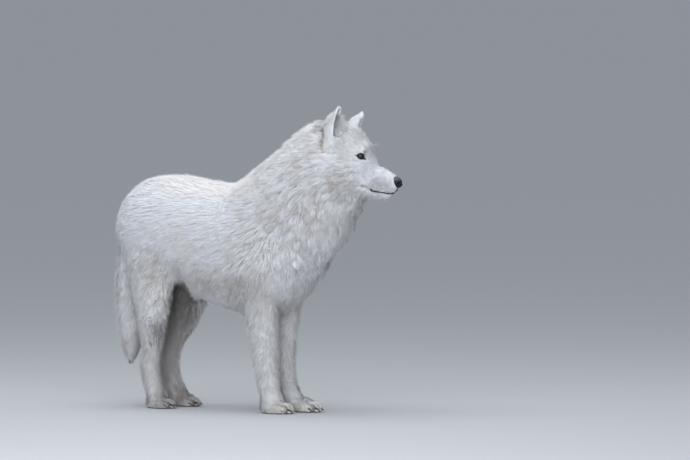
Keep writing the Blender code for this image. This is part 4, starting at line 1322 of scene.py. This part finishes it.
def nearest_skin(places):
    find = skin_tree.find
    return np.array([find(place)[1] for place in places.tolist()], int)


def held_down(lies, normals):
    """How far hair lies on the skin: one mostly, and none where its lie points straight out of it."""
    return np.clip((1 - (lies * normals).sum(axis=1)) / LEANING, 0, 1)[:, None]


def along_skin(lies, normals):
    lies = unit(lies)
    outward = (lies * normals).sum(axis=1, keepdims=True)
    return unit(lies - normals * outward * held_down(lies, normals))


def swung(vectors, normals, angles):
    """Turn each vector about its normal."""
    return vectors * np.cos(angles)[:, None] + np.cross(normals, vectors) * np.sin(angles)[:, None]


def take_roots(faces, count, chance):
    """Roots spread over the faces by area, each with its barycentric share of the corners."""
    weights = face_areas[faces]
    picked = chance.choice(faces, size=count, p=weights / weights.sum())
    first = np.sqrt(chance.random(count))
    second = chance.random(count)
    shares = np.stack([1 - first, first * (1 - second), first * second], axis=1)
    return picked, shares


def spread(values, picked, shares):
    """A value of the skin's vertices, at the roots."""
    corners = values[skin_corners[picked]]
    return np.einsum("nk,nk...->n...", shares, corners)


def root_uvs(picked, shares):
    return np.einsum("nk,nkc->nc", shares, skin_uvs[picked])


def comb(roots, normals, headings, lengths, reach, swing, heights, follow):
    """Lead each tuft over the skin along the lie of the coat, rising to its surface."""
    steps = len(heights) - 1
    depth = skin_depth[nearest_skin(roots)]
    line = [roots + normals * (heights[0] * depth)[:, None]]
    ups = [normals]
    place = roots
    for step in range(1, steps + 1):
        ahead = place + headings * (lengths / steps)[:, None]
        near = nearest_skin(ahead)
        ups_here = skin_normals[near]
        gap = ((ahead - skin_places[near]) * ups_here).sum(axis=1)
        held = held_down(unit(skin_lie[near]), ups_here)
        ups_here = unit(ups[-1] * (1 - held) + ups_here * held)
        place = ahead - ups_here * (gap * follow)[:, None] * held
        lie = swung(along_skin(skin_lie[near], ups_here), ups_here, swing)
        headings = along_skin(headings + lie, ups_here)
        line.append(place + ups_here * (reach * heights[step] * skin_depth[near])[:, None])
        ups.append(ups_here)
    return np.stack(line, axis=1), np.stack(ups, axis=1)


def tuft_faces(count, rings):
    """The triangles of many tufts: a closed base, the walls between its rings, and the tip."""
    corners = 3 * (rings - 1) + 1
    faces = [(1, 0, 2)]
    for ring in range(rings - 2):
        here, there = 3 * ring, 3 * ring + 3
        for start, end in ((0, 1), (1, 2), (2, 0)):
            faces.append((here + start, here + end, there + end))
            faces.append((here + start, there + end, there + start))
    last, tip = 3 * (rings - 2), corners - 1
    faces += [(last, last + 1, tip), (last + 1, last + 2, tip), (last + 2, last, tip)]
    return (np.array(faces)[None, :, :] + (np.arange(count) * corners)[:, None, None]).reshape(-1, 3)


def tuft_mesh(name, line, ups, widths, uvs, tones_and_shade, locking):
    """Join closed three-sided tufts, pointed at the tip, into one piece.

    Its attributes serve the colour: along runs from root to tip, and tone, dark at one, holds each lock's
    own tone and the painted shade at its edge.
    """
    count, rings, _axes = line.shape
    corners = 3 * (rings - 1) + 1
    bent = rings == 3
    tallness = np.clip(LEAST_TALLNESS + TALLNESS_GAIN * locking, LEAST_TALLNESS, 1)
    tallness = (TUFT_TALLNESS * tallness)[:, None]
    headings = unit(np.gradient(line, axis=1))
    sides = unit(np.cross(headings, ups))
    tops = np.cross(sides, headings)
    places = []
    normals = []
    along = []
    for ring in range(rings - 1):
        width = (widths * (RING_WIDTHS[ring] if bent else 1.0))[:, None]
        side, top = sides[:, ring], tops[:, ring]
        places += [line[:, ring] + side * width / 2, line[:, ring] - side * width / 2]
        places += [line[:, ring] + top * width * tallness]
        normals += [side, -side, top]
        along += [ring / (rings - 1) if bent else SHORT_ROOT_TONE] * 3
    places.append(line[:, -1])
    normals.append(headings[:, -1] * 0.5 + tops[:, -1])
    along = np.array(along + [1.0])
    places = np.stack(places, axis=1).reshape(-1, 3)
    ring_of_corner = np.minimum(np.arange(corners) // 3, rings - 1)
    skin_up = ups[:, ring_of_corner]
    rounding = np.clip(CALM - UNRULY * locking, LEAST_CALM, CALM)[:, None, None]
    normals = unit(unit(np.stack(normals, axis=1)) * (1 - rounding) + skin_up * rounding)
    faces = tuft_faces(count, rings)

    mesh = bpy.data.meshes.new(name)
    mesh.vertices.add(len(places))
    mesh.vertices.foreach_set("co", places.ravel())
    mesh.loops.add(faces.size)
    mesh.loops.foreach_set("vertex_index", faces.ravel())
    mesh.polygons.add(len(faces))
    mesh.polygons.foreach_set("loop_start", np.arange(0, faces.size, 3))
    mesh.update(calc_edges=True)
    mesh.shade_smooth()
    mesh.normals_split_custom_set_from_vertices(normals.reshape(-1, 3))

    across = np.array([0.0, 1.0, 0.5] * (rings - 1) + [0.5]) - 0.5
    patch = np.stack([across, along - 0.5], axis=1) * UV_PATCH
    vertex_uvs = (uvs[:, None, :] + patch[None, :, :]).reshape(-1, 2)
    mesh.uv_layers.new(name="OFBake").data.foreach_set("uv", vertex_uvs[faces.ravel()].ravel())
    root_shade = np.clip(ROOT_SHADE + locking, 0, 1)
    colour_along = 1 - root_shade[:, None] * (1 - along)[None, :]
    mesh.attributes.new("along", "FLOAT", "POINT").data.foreach_set("value", colour_along.ravel())
    mesh.attributes.new("tone", "FLOAT", "POINT").data.foreach_set("value", np.repeat(tones_and_shade, corners))

    piece = bpy.data.objects.new(name, mesh)
    bpy.context.scene.collection.objects.link(piece)
    return piece


def coat_material():
    """White hair, warm grey at its roots, each lock a little lighter or darker, with painted shade at its
    edge.
    """
    material, tree, shader = new_material("winter_coat", 0.75, 0.25)
    shader.inputs["Sheen Weight"].default_value = 0.15
    shader.inputs["Sheen Roughness"].default_value = 0.5
    colours = add_node(tree, "ShaderNodeGroup", node_tree=markings)
    along = ranged(tree, attribute(tree, "along"), 0.10, 0.80)
    shade = mixed(tree, along, colours.outputs["Undercoat"], colours.outputs["Tips"])
    tone = ranged(tree, attribute(tree, "tone"), 0.0, 1.0, to_high=0.78)
    darker = mixed(tree, 0.6, colours.outputs["Undercoat"], CLEFT)
    wire(tree, mixed(tree, tone, shade, darker), shader.inputs["Base Color"])
    return material


winter_coat = coat_material()


STREAKS = {  # where more of the locks are dark: middle, half sizes, strength
    "jaw": ((0.360, 0.080, 0.715), (0.035, 0.050, 0.035), 0.9),
    "neck": ((0.300, 0.105, 0.668), (0.045, 0.050, 0.040), 1.0),
    "below_ear": ((0.270, 0.100, 0.800), (0.030, 0.040, 0.050), 0.6),
    "shoulder": ((0.215, 0.135, 0.622), (0.060, 0.050, 0.035), 0.8),
    "breast": ((0.250, 0.080, 0.550), (0.060, 0.060, 0.060), 0.5),
    "elbow": ((0.050, 0.110, 0.420), (0.050, 0.050, 0.040), 0.5),
    "flank": ((-0.108, 0.115, 0.402), (0.070, 0.050, 0.045), 0.8),
    "thigh": ((-0.317, 0.112, 0.448), (0.040, 0.050, 0.060), 0.8),
    "croup": ((-0.290, 0.125, 0.585), (0.050, 0.050, 0.060), 0.5),
}


def streaked(places):
    """How much darker the locks are at each place, from 0 to 1."""
    share = np.zeros(len(places))
    for middle, half_sizes, strength in STREAKS.values():
        offset = np.stack([places[:, 0], np.abs(places[:, 1]), places[:, 2]], axis=1) - middle
        share = np.maximum(share, strength * np.exp(-((offset / half_sizes) ** 2).sum(axis=1)))
    return share


def grow(name, parts, count, seed, heights=RISE, where=None, lock_size=0.012, gather=1.0, swing=0.16,
         long=1.0, wide=1.0, contrast=1.0, follow=FOLLOW, stand=1.0):
    """Cover parts of the skin with tufts, as one piece.

    heights says how a tuft rises and where which faces bear it. lock_size is the width of a
    lock, gather how well it forms and contrast how much it differs from the next. long and wide
    scale the tufts, swing is how far they stray from their lie, and stand how far tips lift.
    """
    chance = np.random.default_rng(seed)
    chosen = haired & np.isin(face_part, parts)
    if where is not None:
        chosen &= where(face_middles)
    faces = np.flatnonzero(chosen)
    leaders = max(int(face_areas[faces].sum() / lock_size**2), 1)

    def comb_from(number, wander):
        """Comb a number of tufts out of the skin, each swung a little off the lie of the coat."""
        picked, shares = take_roots(faces, number, chance)
        roots = spread(skin_places, picked, shares)
        normals = unit(spread(skin_normals, picked, shares))
        lies = along_skin(spread(skin_lie, picked, shares), normals)
        swings = chance.normal(0, wander, number)
        lengths = spread(skin_length, picked, shares) * chance.uniform(*LENGTHS, number) * long
        unevenness = np.clip(spread(skin_locking, picked, shares) / ROUGH_FROM, 0.2, 1)
        reach = 1 + chance.uniform(*REACHES, number) * unevenness
        headings = swung(lies, normals, swings)
        line, ups = comb(roots, normals, headings, lengths, reach, swings, heights, follow)
        return picked, shares, roots, line, ups

    # One leader stands for each lock, and the tufts round it are drawn towards it.
    _picked, _shares, lead_roots, lead_line, _ups = comb_from(leaders, swing * 1.1)
    lead_tones = chance.random(leaders) ** (3 - 1.6 * streaked(lead_roots))
    picked, shares, roots, line, ups = comb_from(count, swing)
    lead_tree = tree_of(lead_roots)
    leader = np.array([lead_tree.find(place)[1] for place in roots.tolist()], int)
    locking = np.clip(spread(skin_locking, picked, shares) * gather, 0, MOST_LOCKING)
    pulls = PULL if len(heights) == 3 else (PULL[0], PULL[-1])
    apart = roots - lead_roots[leader]
    for ring, pull in enumerate(pulls):
        gathered = lead_line[leader, ring] + apart * (1 - TIGHTNESS * pull)
        share = (locking * pull)[:, None]
        line[:, ring] = line[:, ring] * (1 - share) + gathered * share

    # Tips lift off the coat, those of a lock together, and stray hairs stand out of it.
    widths = spread(skin_width, picked, shares) * chance.uniform(*WIDTHS, count) * wide
    stray = chance.random(count) < STRAYS
    widths[stray] *= STRAY_WIDTH
    lead_lift = chance.exponential(HAIR_LIFT, leaders)
    lift = lead_lift[leader] + OWN_LIFT * chance.exponential(HAIR_LIFT, count) + STRAY_LIFT * stray
    lift *= np.clip(locking / ROUGH_FROM, 0.35, 1)
    lift = np.minimum(lift * spread(skin_length, picked, shares) * stand, MOST_LIFT)
    line[:, -1] += ups[:, -1] * lift[:, None]
    line[:, :, 2] = np.maximum(line[:, :, 2], LOWEST_HAIR)

    # A lock is darker as a whole, and its edge, where it parts from the next, is darkened with painted
    # shade.
    parting_shade = np.clip(np.linalg.norm(apart, axis=1) / (PARTING * lock_size), 0, 1) ** 3
    parting_shade *= 0.25 + 0.75 * streaked(roots)
    tones_and_shade = 0.45 * lead_tones[leader] + 0.35 * chance.random(count) + 0.75 * parting_shade
    tones_and_shade *= np.clip(locking / TONED_FROM, 0.15, 1)
    tones_and_shade = np.clip(tones_and_shade * contrast, 0, 1)
    piece = tuft_mesh(name, line, ups, widths, root_uvs(picked, shares), tones_and_shade, locking)
    piece.data.materials.append(winter_coat)
    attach(piece, "root")
    return piece


def of_side(side):
    """Pick out the places on one side of the wolf."""
    return lambda places: places[:, 1] * SIDES[side] > 0


def on_face(places):
    """The short-haired front of the head, ahead of the cheeks' ruff and the crown."""
    ahead, _aside, up = to_head(places).T
    return ahead > -0.050 - 0.25 * (up - 0.78)


for side in SIDES:
    one_side = of_side(side)
    grow("coat_trunk_" + side, ["trunk"], 12500, 11, where=one_side, lock_size=0.016, wide=1.15)
    grow("guard_hair_trunk_" + side, ["trunk"], 11000, 31, OVER, where=one_side, gather=0.6, wide=0.8)
    grow("coat_neck_" + side, ["neck"], 14000, 12, where=one_side, lock_size=0.017, wide=1.1)
    grow("guard_hair_neck_" + side, ["neck"], 3000, 32, OVER, where=one_side, lock_size=0.017, wide=0.8)
    grow("coat_thigh_" + side, ["hind_thigh_" + side], 4600, 13, lock_size=0.014, wide=1.1)
    grow("guard_hair_thigh_" + side, ["hind_thigh_" + side], 2600, 33, OVER, gather=0.8, wide=0.8)
    for leg, tufts, seed in (("hind_leg_", 8500, 14), ("front_leg_", 12000, 15)):
        grow(
            "coat_" + leg + side, [leg + side], tufts, seed, SHORT,
            lock_size=0.0055, gather=0.9, contrast=1.6, stand=1.8,
        )
    for part, tufts, seed in (("front_paw_", 4000, 16), ("hind_paw_", 3500, 17), ("ear_", 6000, 18)):
        grow("coat_" + part + side, [part + side], tufts, seed, SHORT)
grow("coat_crown", ["head"], 13500, 19, where=lambda places: ~on_face(places), gather=1.2)
grow("coat_face", ["head"], 40000, 20, SHORT, where=on_face, lock_size=0.009, gather=2.2)
grow("coat_tail", ["tail"], 10500, 21, lock_size=0.008, gather=0.8, swing=0.13, contrast=1.4, follow=0.45)
grow(
    "guard_hair_tail", ["tail"], 3000, 41, OVER,
    lock_size=0.008, swing=0.15, wide=0.9, contrast=1.4, follow=0.45,
)


# ---- Ear tufts ------------------------------------------------------------------------------
# Long soft hair grows from the inner wall of each ear, towards its tip and out across its
# hollow, and hides the bare skin behind it.
TASSELS = 2400
TASSEL_LENGTH = 0.016
TASSEL_WIDTH = 0.0018
TASSEL_ROOTS = (0.36, 0.76)  # where they grow, from the root to the tip of the ear
TASSEL_EDGE = -0.009  # and how far they reach towards its outer side
TASSEL_LOCKING = 0.3


def ear_tassels(side):
    chance = np.random.default_rng(51)
    face_normals = skin_normals[skin_corners].mean(axis=1)
    inside, outward, level = ear_hollow(side, face_middles, face_normals)
    inside &= (outward < TASSEL_EDGE) & (level > TASSEL_ROOTS[0]) & (level < TASSEL_ROOTS[1])
    faces = np.flatnonzero(inside & (face_part == "ear_" + side))
    picked, shares = take_roots(faces, TASSELS, chance)
    roots = spread(skin_places, picked, shares)
    ups = unit(spread(skin_normals, picked, shares))
    tipward = unit(from_head(EAR_TIPS[side]) - from_head(EAR_ROOTS[side]))
    forward = head_direction((1.0, SIDES[side] * 0.2, 0.0))
    aims = unit(ups * 0.30 + tipward * 0.80 + forward * 0.45 + chance.normal(0, 0.14, (TASSELS, 3)))
    half_lengths = (TASSEL_LENGTH * chance.uniform(0.55, 1.1, TASSELS) * 0.5)[:, None]
    bend = roots + aims * half_lengths
    tips = bend + unit(aims + tipward * 0.25) * half_lengths
    line = np.stack([roots, bend, tips], axis=1)
    widths = TASSEL_WIDTH * chance.uniform(0.6, 1.1, TASSELS)
    fronts = unit(ups * 0.3 + forward * 0.5 + np.array((0.0, 0.0, 0.5)))
    fronts = np.repeat(fronts[:, None], 3, axis=1)
    tones_and_shade = chance.random(TASSELS) * 0.15
    locking = np.full(TASSELS, TASSEL_LOCKING)
    piece = tuft_mesh("ear_tassels_" + side, line, fronts, widths, root_uvs(picked, shares), tones_and_shade, locking)
    piece.data.materials.append(winter_coat)
    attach(piece, "root")


for side in SIDES:
    ear_tassels(side)


# ---- Whiskers -------------------------------------------------------------------------------
# Stiff pale whiskers stand in rows on the upper lip, with a few over each eye. Each grows from
# the skin, bends along its length and ends in a fine point.
WHISKER_GREY = (0.40, 0.38, 0.36, 1)
WHISKER_THICKNESS = 0.0008
WHISKER_TAPER = 0.92
WHISKER_RINGS = 9
WHISKER_SECTION = 4
WHISKER_ROOT = 0.002  # how far it is sunk in the skin
LIP_ROWS = ((0.7110, 0.040, 4), (0.7180, 0.045, 4), (0.7250, 0.052, 3))  # height, rear end, whiskers
LIP_SPACING = 0.0105
LIP_WHISKER = 0.052  # length of the rear one in each row
LIP_WHISKER_STEP = 0.007  # and how much shorter each is than the one behind it
BROW_ROOTS = ((0.012, 0.026), (0.006, 0.030), (0.000, 0.036))  # ahead and aside
BROW_HEIGHT = 0.838
BROW_WHISKER = 0.030


def add_whisker(form, root, heading, bend, length):
    """Add one whisker; heading and bend are directions in the head's frame."""
    aim = Vector(head_direction(unit(heading)))
    bend = Vector(head_direction(bend))
    side = aim.cross(Vector((0.0, 0.0, 1.0))).normalized()
    place = root - aim * WHISKER_ROOT
    rings = []
    for step in range(WHISKER_RINGS):
        t = step / (WHISKER_RINGS - 1)
        radius = WHISKER_THICKNESS / 2 * (1 - WHISKER_TAPER * t)
        up = side.cross(aim).normalized()
        rings.append(ring_round(form, place, side * radius, up * radius, WHISKER_SECTION))
        place = place + aim * (length / (WHISKER_RINGS - 1))
        aim = (aim + bend * (1.0 / WHISKER_RINGS)).normalized()
    close_tube(form, rings)


def whiskers(side, side_sign):
    form = bmesh.new()
    chance = np.random.default_rng(61)
    inward = Vector(head_direction((0.0, -side_sign, 0.0)))
    down = Vector(head_direction((-0.8, 0.0, -0.6)))
    for height, rear, number in LIP_ROWS:
        for index in range(number):
            start = from_head((rear + LIP_SPACING * index, side_sign * 0.09, height))
            root = skin_surface.ray_cast(Vector(start), inward)[0]
            heading = np.array((-0.45 + 0.18 * index, side_sign, -0.12)) + chance.normal(0, 0.06, 3)
            length = LIP_WHISKER - LIP_WHISKER_STEP * index + chance.uniform(-0.004, 0.004)
            add_whisker(form, root, heading, (-0.9, -side_sign * 0.1, -0.35), length)
    for ahead, aside in BROW_ROOTS:
        start = from_head((ahead + 0.04, side_sign * aside, BROW_HEIGHT + 0.03))
        root = skin_surface.ray_cast(Vector(start), down)[0]
        heading = np.array((0.85, side_sign * 0.30, 0.55)) + chance.normal(0, 0.08, 3)
        add_whisker(form, root, heading, (0.1, 0, -0.8), BROW_WHISKER)
    bmesh.ops.recalc_face_normals(form, faces=form.faces)
    return smooth_piece("whiskers_" + side, form)


def whisker_material():
    """Pale stiff hair, a little darker here and there along its length."""
    material, tree, shader = new_material("whisker", 0.35, 0.5)
    bands = soft_noise(tree, object_position(tree), scale=160.0, detail=2.0)
    shade = mixed(tree, ranged(tree, bands, 0.35, 0.75), WHITE, WHISKER_GREY)
    wire(tree, shade, shader.inputs["Base Color"])
    return material


whisker = whisker_material()
for side, side_sign in SIDES.items():
    whisker_piece = whiskers(side, side_sign)
    whisker_piece.data.materials.append(whisker)
    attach(whisker_piece, "root")


# ---- Claws ----------------------------------------------------------------------------------
# Four blunt claws of dark horn on each foot grow from under the hair of the toes and bend down.
# Their fine grain runs along them.
TOE_REACH = (0.52, 0.80, 0.82, 0.50)  # inner to outer toe, for the foot's half length
TOE_TIP = 0.12  # a claw stands out past its toe by this
TOE_LANES = (-1.5, -0.5, 0.5, 1.5)  # the toes lie between and beside the grooves
CLAW_LENGTH = 0.017
CLAW_RADIUS = 0.0042
CLAW_TAPER = 0.80
CLAW_NARROWNESS = 0.8  # its width for its height
CLAW_HEIGHT = 0.0135  # of its root
CLAW_DROP = 0.0070
CLAW_RINGS = 7
CLAW_SECTION = 10
HORN_DARK = (0.022, 0.018, 0.016, 1)
HORN_PALE = (0.075, 0.062, 0.052, 1)


def claws(name, middle_x, middle_y, half_length, half_width):
    outward = -1 if middle_y < 0 else 1
    form = bmesh.new()
    for lane, reach in zip(TOE_LANES, TOE_REACH):
        base = Vector((
            middle_x + (reach + TOE_TIP) * half_length - CLAW_LENGTH / 2,
            middle_y + outward * lane * TOE_SPACING * half_width,
            CLAW_HEIGHT,
        ))
        rings = []
        for step in range(CLAW_RINGS):
            t = step / (CLAW_RINGS - 1)
            radius = CLAW_RADIUS * (1 - CLAW_TAPER * t**2.2)
            centre = base + Vector((CLAW_LENGTH * t, 0, -CLAW_DROP * t**1.8))
            across = Vector((0, radius * CLAW_NARROWNESS, 0))
            rings.append(ring_round(form, centre, across, Vector((0, 0, radius)), CLAW_SECTION))
        close_tube(form, rings)
    bmesh.ops.recalc_face_normals(form, faces=form.faces)
    return smooth_piece("claws_" + name, form)


def horn_material():
    """Dark horn with fine grain along the claw."""
    material, tree, shader = new_material("claw_horn", 0.4, 0.5)
    grain = soft_noise(tree, object_position(tree), scale=500.0, detail=3.0, stretch=(0.15, 1.0, 1.0))
    shade = mixed(tree, ranged(tree, grain, 0.35, 0.7), HORN_DARK, HORN_PALE)
    wire(tree, shade, shader.inputs["Base Color"])
    wire(tree, ranged(tree, grain, 0.3, 0.7, 0.32, 0.5), shader.inputs["Roughness"])
    bumped(tree, shader, grain, 0.2, 0.0004)
    return material


horn = horn_material()
for paw_name, paw_sizes in PAWS.items():
    claw_piece = claws(paw_name, *paw_sizes)
    claw_piece.data.materials.append(horn)
    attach(claw_piece, "root")
